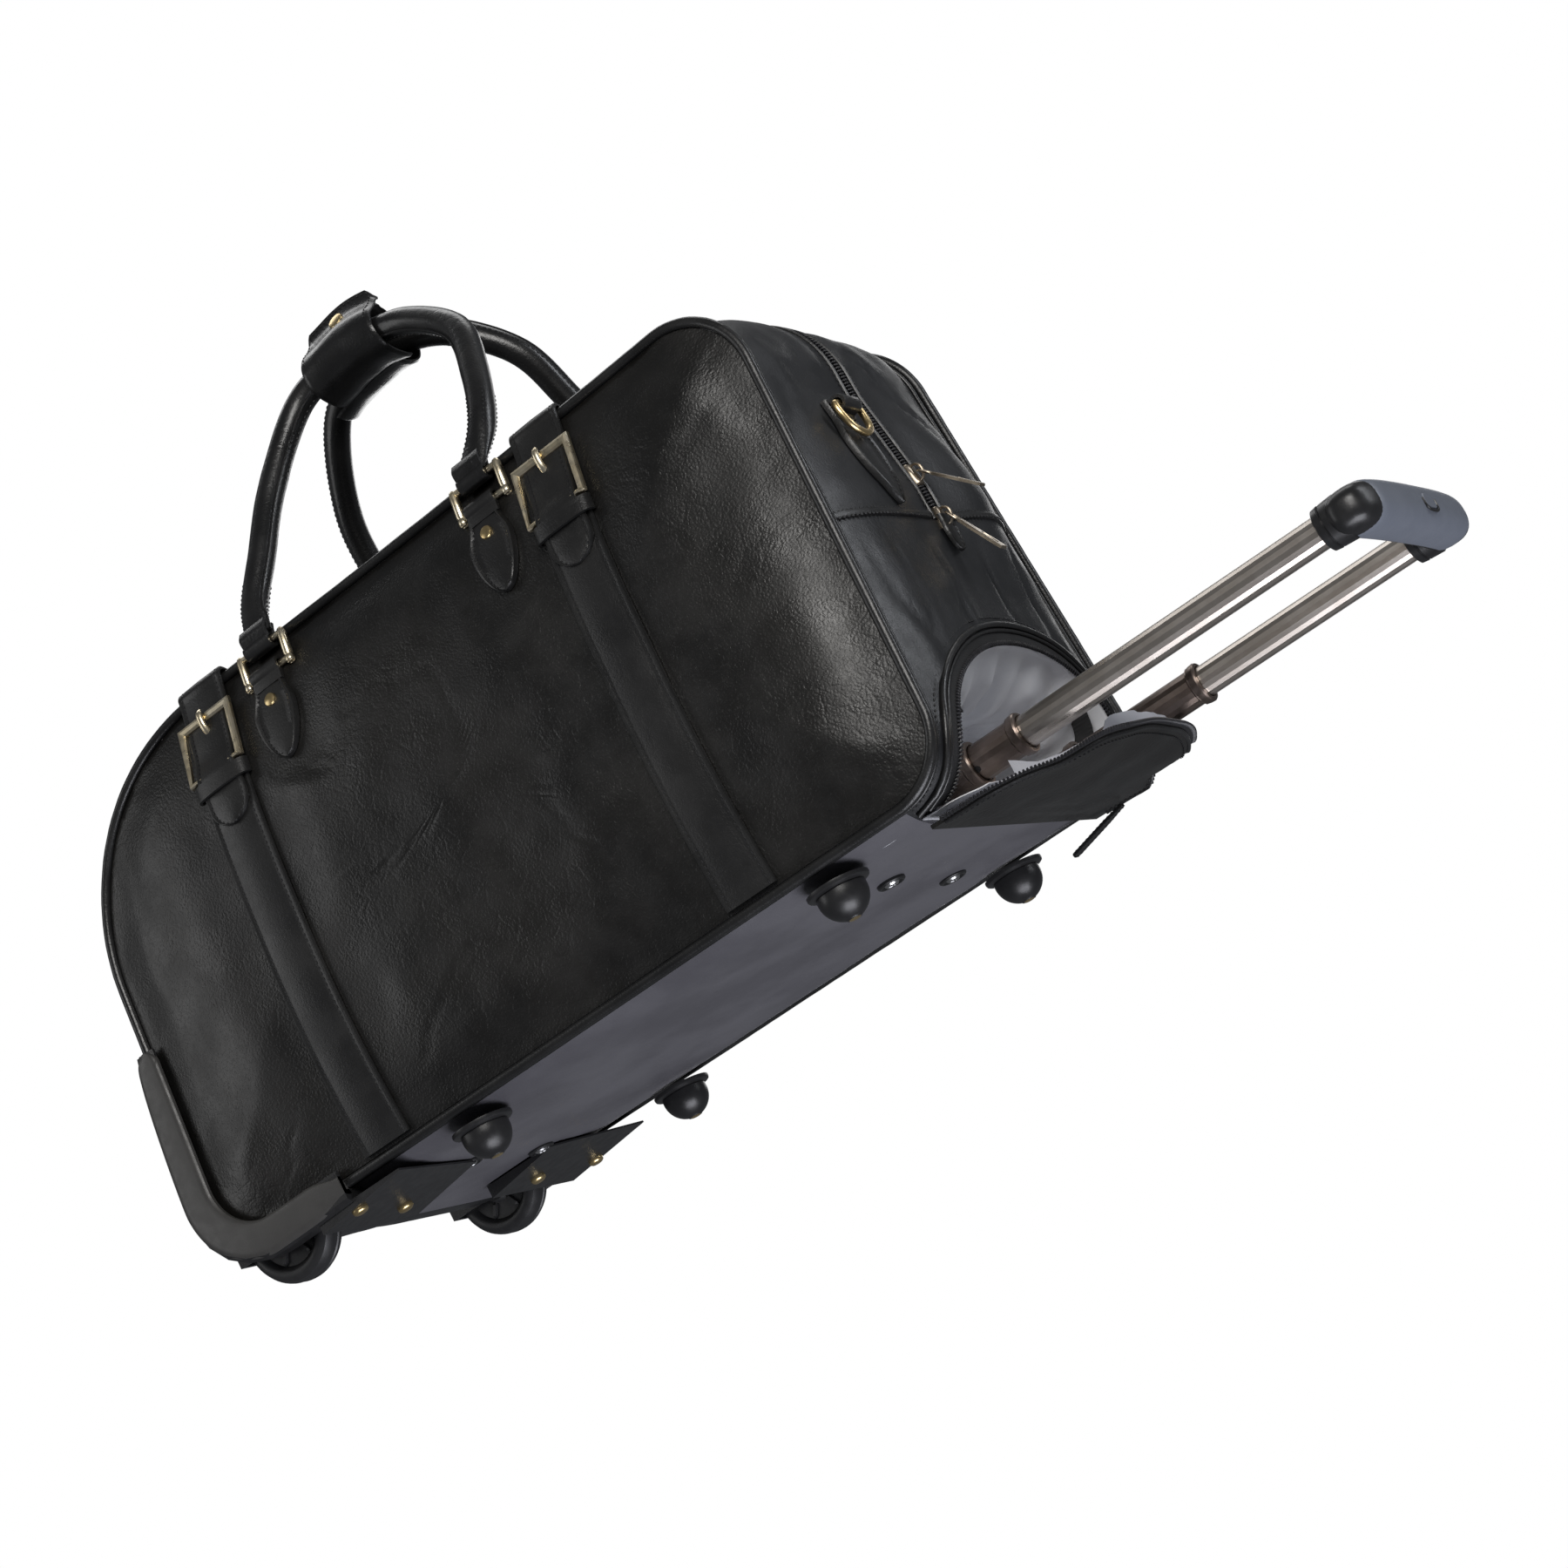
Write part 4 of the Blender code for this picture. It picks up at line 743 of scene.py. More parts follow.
def pressed(x, z):
    """0 where a strap or a tab holds the front or back panel down, rising to 1 clear of them."""
    free = 1.0
    for strap_x in STRAP_X:
        free = min(free, ease(abs(x - strap_x), STRAP_WIDTH / 2 + 0.002, STRAP_WIDTH / 2 + 0.045))
    for tab_x in TAB_X:
        if z > TAB_TIP - 0.03:
            near = math.hypot(max(abs(x - tab_x) - 0.013, 0), max(TAB_TIP - z, 0))
            free = min(free, ease(near, 0.003, 0.025))
    return free


def side_skin(name, side, node):
    middle = Vector((0.0, 0.183))
    rings = 44
    layers = []
    for thickness in (LEATHER, 0.0004):
        rows = []
        for k in range(rings):
            share = (1 - k / rings) ** 0.85
            row = []
            for x, z, _, _ in outline:
                px = middle.x + (x - middle.x) * share
                pz = middle.y + (z - middle.y) * share
                edge = max(edge_distance(px, pz), 0.0)
                place = Vector((px, side * 0.1, pz))
                free = pressed(px, pz) * ease(edge, 0.004, 0.035)
                lift = free * (0.0022 + rumple(place, 0.085, 0.0022, side))
                bent = place + Vector((0, 0, rumple(place, 0.05, 0.02)))
                lift += free * fold(bent, 0.09, 0.05, 0.0009, side * 2)
                pucker = ease(edge, 0.001, 0.006) * (1 - ease(edge, 0.008, 0.022))
                lift += pucker * pressed(px, pz) * rumple(Vector((px, 0, pz)), 0.011, 0.0006, 5)
                row.append(Vector((px, side * (panel_depth(px, pz) + thickness + lift), pz)))
            rows.append(row)
        layers.append(rows)
    bm = bmesh.new()
    add_ring(bm, *[add_disc(bm, rows, sum(rows[-1], Vector()) / len(rows[-1])) for rows in layers])
    return add_piece(name, bm, "leather", replaces=(node,), smooth=70)


def held_down(point):
    """0 where something lies on the gusset panels, rising to 1 clear of it."""
    free = 1.0
    if point.z > SEAM_TOP - 0.02:
        for strap_x in STRAP_X:
            free = min(free, ease(abs(point.x - strap_x), STRAP_WIDTH / 2 + 0.001, STRAP_WIDTH / 2 + 0.02))
    for end in (1, -1):
        if end * point.x > 0.2 and 0.18 < point.z < 0.29:
            free = min(free, ease(abs(point.y - end * D_RING_Y), 0.016, 0.034))
    if point.x > 0.2:
        free = min(free, ease(abs(point.y), 0.012, 0.030))
    return free


def gusset_skin(name, first, last, shares, look, node, swell, thickness=LEATHER):
    """A gusset panel with its own soft unevenness: swell is (size, depth, steady lift)."""
    chosen = [outline[i % len(outline)] for i in range(first, last + 1)]
    for end, step in ((0, 1), (-1, -1)):
        x, z, nx, nz = chosen[end]
        chosen[end] = (x - nz * GAP * step * 0.6, z + nx * GAP * step * 0.6, nx, nz)
    size, depth, lift = swell
    outer = []
    inner = []
    for i, sample in enumerate(chosen):
        row_out = []
        row_in = []
        along = min(i, len(chosen) - 1 - i) / 6.0
        for share in shares:
            base = gusset_point(sample, share)
            rim = ease(1 - abs(share), 0.0, 0.25) * ease(along, 0.0, 1.0) * held_down(base)
            out = rim * (lift + rumple(base, size, depth, 3.0))
            stretch = Vector((base.x, base.y, base.z * 0.35 if abs(sample[2]) > 0.5 else base.z))
            out += rim * fold(stretch, size * 0.8, 0.10, depth * 0.8, 7.0)
            row_out.append(gusset_point(sample, share, -out))
            row_in.append(gusset_point(sample, share, thickness - out))
        outer.append(row_out)
        inner.append(row_in)
    return make_piece(name, look, "bag", add_shell, outer, inner, replaces=(node,), smooth=70)


def box_tool(low, high):
    bm = bmesh.new()
    bmesh.ops.create_cube(bm, size=1.0)
    for vert in bm.verts:
        for axis in range(3):
            vert.co[axis] = high[axis] if vert.co[axis] > 0 else low[axis]
    return add_piece("tool", bm, "black_plastic", body=None)


def mouth_section(grow=0.0, steps=40, low=-0.02):
    half = MOUTH_HALF_WIDTH + grow
    section = [(half, low), (half, MOUTH_SPRING)]
    section += arc(0, MOUTH_SPRING, half, MOUTH_TOP - MOUTH_SPRING + grow, 0, 180, steps)[1:-1]
    return section + [(-half, MOUTH_SPRING), (-half, low)]


def mouth_tool():
    near = [Vector((0.20, y, z)) for y, z in mouth_section()]
    far = [Vector((0.32, y, z)) for y, z in mouth_section()]
    return make_piece("tool", "black_plastic", None, add_capped, [near, far])


def make_skins():
    side_skin("front_skin", -1, "front_panel")
    side_skin("back_skin", 1, "back_panel")
    seam_a = marks["handle_seam"]
    seam_b = marks["wheel_seam"]
    zip_share = (ZIP_HALF + GAP) / HALF_DEPTH_TOP
    low_a = marks["low_handle"]
    low_b = marks["low_wheel"]
    gusset_skin("top_skin_front", seam_a, seam_b, spread(-1.0, -zip_share, 22),
                "end_leather", "top_panel_front", (0.06, 0.0022, 0.0006))
    gusset_skin("top_skin_back", seam_a, seam_b, spread(zip_share, 1.0, 22),
                "end_leather", "top_panel_back", (0.06, 0.0026, 0.0010))
    end = gusset_skin("end_skin_handle", low_a, seam_a, spread(-1.0, 1.0, 60),
                      "end_leather", "end_panel_handle", (0.05, 0.0024, 0.0004))
    cut(end, mouth_tool())
    wheel_end = gusset_skin("end_skin_wheel", seam_b, low_b, spread(-1.0, 1.0, 48),
                            "end_leather", "end_panel_wheel", (0.06, 0.0024, 0.0004))
    bottom = gusset_skin("bottom_skin", low_b, len(outline), spread(-1.0, 1.0, 48),
                         "bottom_leather_painted_sheen", "bottom_panel", (0.10, 0.0009, -0.0011))
    for piece in (wheel_end, bottom):
        tools = []
        for side in (-1, 1):
            near, far = sorted(side * y for y in WELL_Y)
            tools.append(box_tool((WELL_X[0], near, WELL_Z[0]), (WELL_X[1], far, WELL_Z[1])))
        cut(piece, *tools)


def make_piping():
    """The corded edge of each side panel, with a second thinner cord on the gusset side."""
    for face, side in FACES:
        bm = bmesh.new()
        for radius, out, deep in ((PIPING_RADIUS, PIPING_RADIUS + 0.0004, LEATHER),
                                  (0.0014, 0.0012, -0.0042)):
            frames = []
            for x, z, nx, nz in outline:
                depth = half_depth(x, z) + deep
                over = crown(depth / (half_depth(x, z) - GAP), z, nx, nz) if deep < 0 else 0.0
                origin = Vector((x + nx * (out + over), side * depth, z + nz * (out + over)))
                grow = 1 + 0.05 * noise.noise(origin / 0.008)
                frames.append((origin, Vector((nx, 0, nz)) * grow, Vector((0, side, 0)) * grow))
            add_sweep(bm, frames, circle(radius, 12), closed=True)
        add_piece(f"piping_cord_{face}", bm, "piping", replaces=(f"piping_{face}",))


def make_end_seams():
    """The level seam across each end: a rolled edge with a row of stitches above and below."""
    bm = bmesh.new()
    threads = bmesh.new()
    section = [(0.0024, -0.001), (0.0019, 0.0012), (0.0, 0.0018), (-0.0019, 0.0012), (-0.0024, -0.001)]
    for mark in ("handle_seam", "wheel_seam"):
        sample = outline[marks[mark]]
        for low, high in ((-0.985, -0.10), (0.10, 0.985)):
            points = []
            for share in spread(low, high, 60):
                base = gusset_point(sample, share, -0.0004)
                points.append(base + Vector((0, 0, 0.0022 + 0.0003 * noise.noise(base / 0.006))))
            out = Vector((sample[2], 0, 0))
            add_sweep(bm, path_frames(points, out), section)
            for rise, lift in ((0.0002, 0.0019), (0.0044, 0.0006)):
                row = [p + Vector((sample[2] * lift, 0, rise - 0.0022)) for p in points]
                add_stitches(threads, row, [out] * len(row), 0.0034, 0.0011, 0.62, slant=0.5)
    add_piece("end_seams", bm, "strap_leather")
    add_piece("end_seam_stitches", threads, "thread")


# ---- straps and buckles ------------------------------------------------------------------
def strap_edges(x):
    """The X of a strap's two edges and of its middle."""
    return x - STRAP_WIDTH / 2, x, x + STRAP_WIDTH / 2


def under_strap(x, z):
    """How far a panel reaches out under the whole width of a strap."""
    return max(panel_depth(edge, z) for edge in strap_edges(x)) + LEATHER


def strap_path(x):
    """The strap's inner face at one X: (distance from the middle plane, height)."""
    points = []
    for z in spread(SEAM_LOW + 0.002, SEAM_TOP - 0.010, 60):
        depth = under_strap(x, z) + STRAP_OFF
        depth += 0.0022 * ease(z, SEAM_TOP - 0.045, SEAM_TOP)
        points.append(Vector((depth, z)))
    top_depth = max(half_depth(edge, SEAM_TOP) for edge in strap_edges(x)) + LEATHER
    over = PIPING_RADIUS * 2 + GAP * 4
    points.append(Vector((top_depth + 0.0040, SEAM_TOP + 0.0015)))
    points.append(Vector((top_depth + 0.0030, SEAM_TOP + over - 0.0012)))
    points.append(Vector((top_depth - 0.0015, SEAM_TOP + over + 0.0012)))
    for depth in spread(top_depth - 0.012, 0.020, 5):
        share = depth / (top_depth - LEATHER)
        rise = 0.0016 * ease(share, 0.5, 0.9)
        points.append(Vector((depth, SEAM_TOP + CROWN_TOP * (1 - share ** 2) + STRAP_OFF + 0.0002 + rise)))
    return points[:58] + smooth_curve(points[58:], 5)


def strap_frames(x, side):
    path = strap_path(x)
    frames = []
    for point, along in zip(path, tangents(path)):
        out = Vector((0, side * along.y, -along.x))
        frames.append((Vector((x, side * point.x, point.y)), X_AXIS, out))
    return frames


def add_tongue(bm, frames, widths, thickness):
    """A strip of leather with rounded edges: frames along it, and its half width at each."""
    swept = []
    left = [(-1.0, 0.0), (-1.0, 0.5), (-0.955, 0.94), (-0.86, 0.97), (-0.80, 0.80), (-0.70, 1.0)]
    section = left + [(0.0, 1.10)] + both_sides(left)[len(left):]
    for (origin, across, out), half in zip(frames, widths):
        swept.append((origin, across * half, out * thickness))
    add_sweep(bm, swept, section)


def make_strap(face, side, end, x):
    frames = strap_frames(x, side)
    half = STRAP_WIDTH / 2
    make_piece(f"strap_leather_{face}_{end}", "strap_leather", "bag", add_tongue,
               frames, [half] * len(frames), STRAP_THICKNESS, replaces=(f"strap_{face}_{end}",))
    threads = bmesh.new()
    for across in (-0.80, 0.80):
        row = [o + a * (across * half) + n * (STRAP_THICKNESS * 0.84) for o, a, n in frames]
        add_stitches(threads, row, [n for _, _, n in frames], 0.0036, 0.0010, 0.6)
    rows = []
    widths = []
    for z in spread(BUCKLE_Z + BUCKLE_HEIGHT / 2 - 0.003, STRAP_TIP_Z, 44):
        bar = math.exp(-((z - (BUCKLE_Z - BUCKLE_HEIGHT / 2 + 0.001)) / 0.0085) ** 2)
        lift = STRAP_OFF + STRAP_THICKNESS + 0.0003 + 0.0034 * bar
        rows.append(Vector((x, side * (under_strap(x, z) + lift), z)))
        left = (z - STRAP_TIP_Z) / STRAP_TIP_ROUND
        widths.append(STRAP_TIP_HALF * math.sqrt(max(1 - max(1 - left, 0.0) ** 2, 0.004)))
    tip_frames = []
    for point, along in zip(rows, tangents(rows)):
        out = X_AXIS.cross(along) * side
        if out.y * side < 0:
            out = -out
        tip_frames.append((point, X_AXIS, out))
    make_piece(f"strap_tip_{face}_{end}", "strap_leather", "bag", add_tongue, tip_frames, widths, 0.0022)
    for sign in (-1, 1):
        row = [o + a * (sign * max(w - 0.0028, 0.0)) + n * 0.0019 for (o, a, n), w in zip(tip_frames, widths)]
        add_stitches(threads, row, [n for _, _, n in tip_frames], 0.0034, 0.0010, 0.6)
    add_piece(f"strap_stitches_{face}_{end}", threads, "thread")
    z = BUCKLE_Z - BUCKLE_HEIGHT / 2 - 0.0035
    depth = under_strap(x, z) + STRAP_OFF
    path = [Vector((x + sx, side * (depth + d), z)) for sx, d in
            ((-0.0192, 0.0004), (-0.0196, 0.0030), (-0.0172, 0.0062), (-0.0100, 0.0080), (0.0, 0.0085),
             (0.0100, 0.0080), (0.0172, 0.0062), (0.0196, 0.0030), (0.0192, 0.0004))]
    path = smooth_curve(path, 4)
    _, up, _ = panel_frame(x, z, side, 0)
    section = [(-0.0009, -0.0050), (0.0009, -0.0050), (0.0011, -0.0040), (0.0007, -0.0030), (0.0012, 0.0),
               (0.0007, 0.0030), (0.0011, 0.0040), (0.0009, 0.0050), (-0.0009, 0.0050)]
    make_piece(f"strap_keeper_{face}_{end}", "strap_leather", "bag", add_sweep,
               path_frames(path, up), [(-a * side, b) for a, b in section])


def make_buckle(face, side, end, x):
    """A squared frame whose left bar tapers, with the prong resting on its top bar."""
    lift = STRAP_OFF + STRAP_THICKNESS + 0.0010
    centre, up, out = panel_frame(x, BUCKLE_Z, side, lift)
    right = X_AXIS
    half_w = BUCKLE_WIDTH / 2
    half_h = BUCKLE_HEIGHT / 2
    outer = [(-half_w, -half_h), (half_w, -half_h), (half_w, half_h), (-half_w, half_h)]
    inner = [(-half_w + 0.0018, -half_h + 0.0030), (half_w - 0.0046, -half_h + 0.0030),
             (half_w - 0.0046, half_h - 0.0056), (-half_w + 0.0052, half_h - 0.0056)]
    levels = ((0.0, 0.0), (0.0, 0.55), (0.13, 0.86), (0.42, 1.0), (0.80, 0.86), (1.0, 0.55), (1.0, 0.0))
    bm = bmesh.new()
    rows = []
    for (ox, oz), (ix, iz) in zip(outer, inner):
        rows.append([centre + right * (ox + (ix - ox) * t) + up * (oz + (iz - oz) * t) + out * (h * 0.0036)
                     for t, h in levels])
    rows.append(rows[0])
    add_grid(bm, rows, closed=True)
    bmesh.ops.remove_doubles(bm, verts=bm.verts, dist=1e-6)
    add_piece(f"buckle_frame_{face}_{end}", bm, "brass", replaces=(f"buckle_{face}_{end}",), smooth=18)
    path = [centre + up * h + out * d for h, d in ((0.0075, 0.0004), (0.0100, 0.0026), (0.0130, 0.0042),
                                                   (0.0165, 0.0052), (0.0195, 0.0052), (0.0222, 0.0040))]
    path = smooth_curve(path, 4)
    sizes = [1.0 - 0.35 * ease(i / len(path), 0.75, 1.0) for i in range(len(path))]
    frames = [(o, a * s, b * s) for (o, a, b), s in zip(free_frames(path, out), sizes)]
    section = [(a * 1.3, b * 0.9) for a, b in circle(0.0017, 12)]
    make_piece(f"buckle_prong_{face}_{end}", "brass", "bag", add_sweep, frames, section)
    point = panel_frame(x, BUCKLE_Z + half_h + 0.0125, side, 0)[0]
    point.y = side * (under_strap(x, point.z) + STRAP_OFF + STRAP_THICKNESS * 1.06)
    profile = [(0.0, 0.0008), (0.0003, 0.0014), (0.0001, 0.0021), (-0.0006, 0.0021), (-0.0006, 0.0008)]
    make_piece(f"strap_hole_{face}_{end}", "old_brass", "bag", add_turned,
               profile, point, out, 16, closed=True)


# ---- leaf-shaped tabs --------------------------------------------------------------------
def leaf_width(share, width, neck, point):
    """Half width of a leaf tab: a straight neck that swells out and runs down to a blunt tip."""
    if share < 0.16:
        return neck
    if share < 0.42:
        return neck + (width - neck) * ease(share, 0.12, 0.42)
    angle = (share - 0.42) / 0.58
    return width * max(max(math.cos(angle * math.pi / 2), 0.0) ** point, 0.04)


def make_leaf(name, nodes, place, length, width, neck, thickness, point=0.5):
    """A raised, stitched leaf. place(across, down, lift) gives a point on the surface under it."""
    rows = []
    left = [(-1.0, 0.55), (-0.95, 0.92), (-0.86, 1.0), (-0.74, 0.72), (-0.5, 0.80)]
    section = left + [(0.0, 0.88)] + both_sides(left)[len(left):]
    for down in spread(0.0, 1.0, LEAF_STEPS):
        half = leaf_width(down, width, neck, point)
        row = [place(-half, down * length, 0.0)]
        row += [place(half * t, down * length, h * thickness) for t, h in section]
        row.append(place(half, down * length, 0.0))
        rows.append(row)
    make_piece(name, "strap_leather", "bag", add_capped, rows, replaces=nodes)
    line = []
    stitched = range(3, LEAF_STEPS - 1)
    for sign, order in ((-1, stitched), (1, reversed(stitched))):
        for i in order:
            down = i / LEAF_STEPS
            across = max(leaf_width(down, width, neck, point) * 0.78 - 0.0002, 0.0)
            line.append((sign * across, down * length))
    points = [place(across, down, thickness * 0.78) for across, down in line]
    outs = [(place(across, down, 0.01) - place(across, down, 0.0)).normalized() for across, down in line]
    make_piece(name + "_stitches", "thread", "bag", add_stitches, points, outs, 0.0030, 0.0009, 0.66)


def add_rivet(bm, centre, out, radius=0.0040, height=0.0014):
    add_turned(bm, [(-0.001, 0.0), (-0.001, radius), (height * 0.35, radius), (height * 0.75, radius * 0.93),
                    (height, radius * 0.72), (height * 1.08, 0.0)], centre, out, 24)


def make_tab(face, side, end, x, ring_x):
    def place(across, down, lift):
        return panel_frame(x + across, TAB_TOP - down, side, 0.0006 + lift)[0]
    make_leaf(f"tab_leaf_{face}_{end}", (f"tab_{face}_{end}",), place,
              TAB_TOP - TAB_TIP, TAB_HALF_WIDTH, TAB_NECK, 0.0040)
    point, _, out = panel_frame(x, 0.2975, side, 0.0042)
    make_piece(f"tab_rivet_{face}_{end}", "old_brass", "bag", add_rivet, point, out, 0.0041)
    hinge = Vector((ring_x, side * HINGE_Y, HINGE_Z))
    base, up, out = panel_frame(x, TAB_TOP - 0.004, side, 0.0018)
    path = [base - up * 0.004 + out * 0.0014, base + out * 0.0022]
    path += turn_round(hinge, Vector((0, side, 0)), Z_AXIS, 0.0042, -40, 200, 8)
    path.append(hinge + Vector((0, -side * 0.0035, -0.0040)))
    for p in path:
        p.x = (x + ring_x) / 2
    path = smooth_curve(path, 3)
    make_piece(f"tab_loop_{face}_{end}", "strap_leather", "bag", add_sweep,
               path_frames(path, X_AXIS), strip_section(0.0108, 0.0094))


def make_d_ring(name, end, side_y, body):
    top = D_RING_Z + 0.002

    def place(across, down, lift):
        y = side_y + across
        z = top - down
        reach = end_reach(end, y, z) + 0.0006 + lift
        return Vector((end * reach, y, z))
    make_leaf(f"d_ring_leaf_{name}_end", (f"d_ring_tab_{name}_end",), place,
              D_TAB_LENGTH, 0.0145, 0.0105, 0.0036, 0.72)
    lift = 0.0042 + D_RING_RADIUS + 0.0016
    bar = D_RING_Z - 0.004
    reach = end_reach(end, side_y, bar)
    fall = math.atan2(end_reach(end, side_y, bar - D_RING_DROP) - reach, D_RING_DROP)
    centre = Vector((end * (reach + lift / math.cos(fall)), side_y, bar))
    half = D_RING_WIDTH / 2
    flat = [(-half * 0.8, 0.0), (0.0, 0.0), (half * 0.8, 0.0), (half, -0.0025)]
    flat += [(half * math.cos(math.radians(a)), -0.006 - (D_RING_DROP - 0.006) * math.sin(math.radians(a)))
             for a in (10, 35, 60, 90, 120, 145, 170)]
    flat.append((-half, -0.0025))
    points = [centre + Vector((-end * down * math.tan(fall), across, down)) for across, down in flat]
    side = Vector((end * math.cos(fall), 0, math.sin(fall)))
    make_piece(f"d_ring_brass_{name}_end", "old_brass", body, add_wire_loop,
               points, side, D_RING_RADIUS, 14, 5, replaces=(f"d_ring_{name}_end",))
    path = [place(0, 0.014, 0.0030), place(0, 0.010, 0.0044)]
    path += turn_round(centre, Vector((end, 0, 0)), Z_AXIS, 0.0042, -50, 170, 8)
    path.append(place(0, 0.001, 0.0030))
    make_piece(f"d_ring_loop_{name}_end", "strap_leather", "bag", add_sweep,
               path_frames(smooth_curve(path, 3), Y_AXIS), strip_section(0.0098, 0.0086))


# ---- carry handles -----------------------------------------------------------------------
ARCH = ((-0.085, 0.0055), (-0.089, 0.034), (-0.082, 0.065), (-0.068, 0.112), (-0.036, 0.161),
        (0.000, 0.173), (0.030, 0.1725), (0.061, 0.158), (0.092, 0.122), (0.099, 0.080),
        (0.100, 0.036), (0.091, 0.0055))
ARCH_RISE = 0.173
WRAP_START = 0.425
WRAP_END = 0.560
WRAP_SECTION = ((0.0008, -0.0150), (0.0070, -0.0158), (0.0150, -0.0148), (0.0230, -0.0116),
                (0.0275, -0.0060), (0.0290, 0.0000), (0.0276, 0.0060), (0.0240, 0.0108),
                (0.0192, 0.0144), (0.0145, 0.0180), (0.0108, 0.0220), (0.0082, 0.0262),
                (0.0066, 0.0305))


def handle_axes(side):
    """The foot, and the up and out directions, of a handle's leaning plane."""
    rise = RING_HEIGHT * math.cos(RING_LEAN)
    foot = Vector((0, side * (HINGE_Y - RING_HEIGHT * math.sin(RING_LEAN)), HINGE_Z + rise))
    up = Vector((0, -side * math.sin(HANDLE_LEAN), math.cos(HANDLE_LEAN)))
    out = Vector((0, side * math.cos(HANDLE_LEAN), math.sin(HANDLE_LEAN)))
    return foot, up, out


def flatness(height):
    """1 at a carry handle's flattened ends, falling to 0 where it is round."""
    return 1 - ease(height, 0.0, 0.040)


def arch_points(side, steps):
    foot, up, out = handle_axes(side)
    points = []
    for p in smooth_curve([(x, h, 0) for x, h in ARCH], steps):
        sway = HANDLE_SWAY[side] * math.sin(math.pi * min(p.y / ARCH_RISE, 1.0))
        points.append(foot + Vector((p.x + sway, 0, 0)) + up * p.y + out * 0.0022 * flatness(p.y))
    return points


def make_carry_handle(face, side):
    body = f"carry_{face}"
    foot, up, out = handle_axes(side)
    points = arch_points(side, 10)
    frames = []
    for point, across, _ in path_frames(points, out):
        flat = flatness((point - foot).dot(up))
        wide = 1 + (HANDLE_FLARE / HANDLE_RADIUS - 1) * flat
        thin = 1 + (HANDLE_FLAT / HANDLE_RADIUS - 1) * flat
        grow = 1 + (0.020 * noise.noise(point / 0.012) + 0.02 * noise.noise(point / 0.04)) * (1 - flat)
        frames.append((point, across * wide * grow, out * thin * grow))
    make_piece(f"handle_leather_{face}", "handle_leather", body, add_sweep,
               frames, circle(HANDLE_RADIUS, 20), replaces=(f"carry_handle_{face}",))
    # The seam where the handle's leather meets, along the inner side of the arch.
    threads = bmesh.new()
    ridge = bmesh.new()
    for sign in (-1, 1):
        rows = []
        outs = []
        for i in range(len(frames)):
            point, across, thin = frames[i]
            flat = flatness((point - foot).dot(up))
            angle = math.radians(180 + sign * 16) if flat < 0.5 else math.radians(180)
            toward = across * math.cos(angle) + thin * math.sin(angle)
            rows.append(point + toward * (HANDLE_RADIUS * 0.995))
            outs.append(toward.normalized())
        if sign > 0:
            add_stitches(threads, rows, outs, 0.0036, 0.0009, 0.65)
        else:
            along = [(p, a.normalized(), b.normalized()) for p, (_, a, b) in zip(rows, frames)]
            add_sweep(ridge, along, circle(0.0008, 6))
    add_piece(f"handle_seam_{face}", ridge, "handle_leather", body)
    for end, x in ((0, RING_X[0]), (-1, RING_X[1])):
        # Stitches round the flattened end, and the fold of leather that goes round the ring's upper bar.
        span = frames[:16] if end == 0 else frames[-16:]
        for sign in (-1, 1):
            across = sign * HANDLE_RADIUS * 0.74
            for over in (-1, 1):
                rows = [o + a * across + b * (over * HANDLE_RADIUS * 0.66) for o, a, b in span]
                outs = [b.normalized() * over for _, _, b in span]
                add_stitches(threads, rows, outs, 0.0032, 0.0009, 0.62)
        fold_piece = bmesh.new()
        ring_up = Vector((0, -side * math.sin(RING_LEAN), math.cos(RING_LEAN)))
        top = Vector((x, side * HINGE_Y, HINGE_Z)) + ring_up * RING_HEIGHT
        foot_point = points[0] if end == 0 else points[-1]
        near = foot_point + up * 0.007
        path = [near + out * 0.0036, foot_point + out * 0.0044 + up * 0.001]
        path += turn_round(top, out, up, 0.0044, 30, -210, 9)
        path += [foot_point - out * 0.0034 + up * 0.001, near - out * 0.0030]
        path = smooth_curve(path, 3)
        for p in path:
            p.x = x
        add_sweep(fold_piece, path_frames(path, X_AXIS), strip_section(0.0100, 0.0090))
        name = ("wheel_side", "handle_side")[0 if end == 0 else 1]
        add_piece(f"handle_end_{face}_{name}", fold_piece, "handle_leather", body)
        make_shackle(face, side, name, x, body)
    add_piece(f"handle_stitches_{face}", threads, "thread", body)


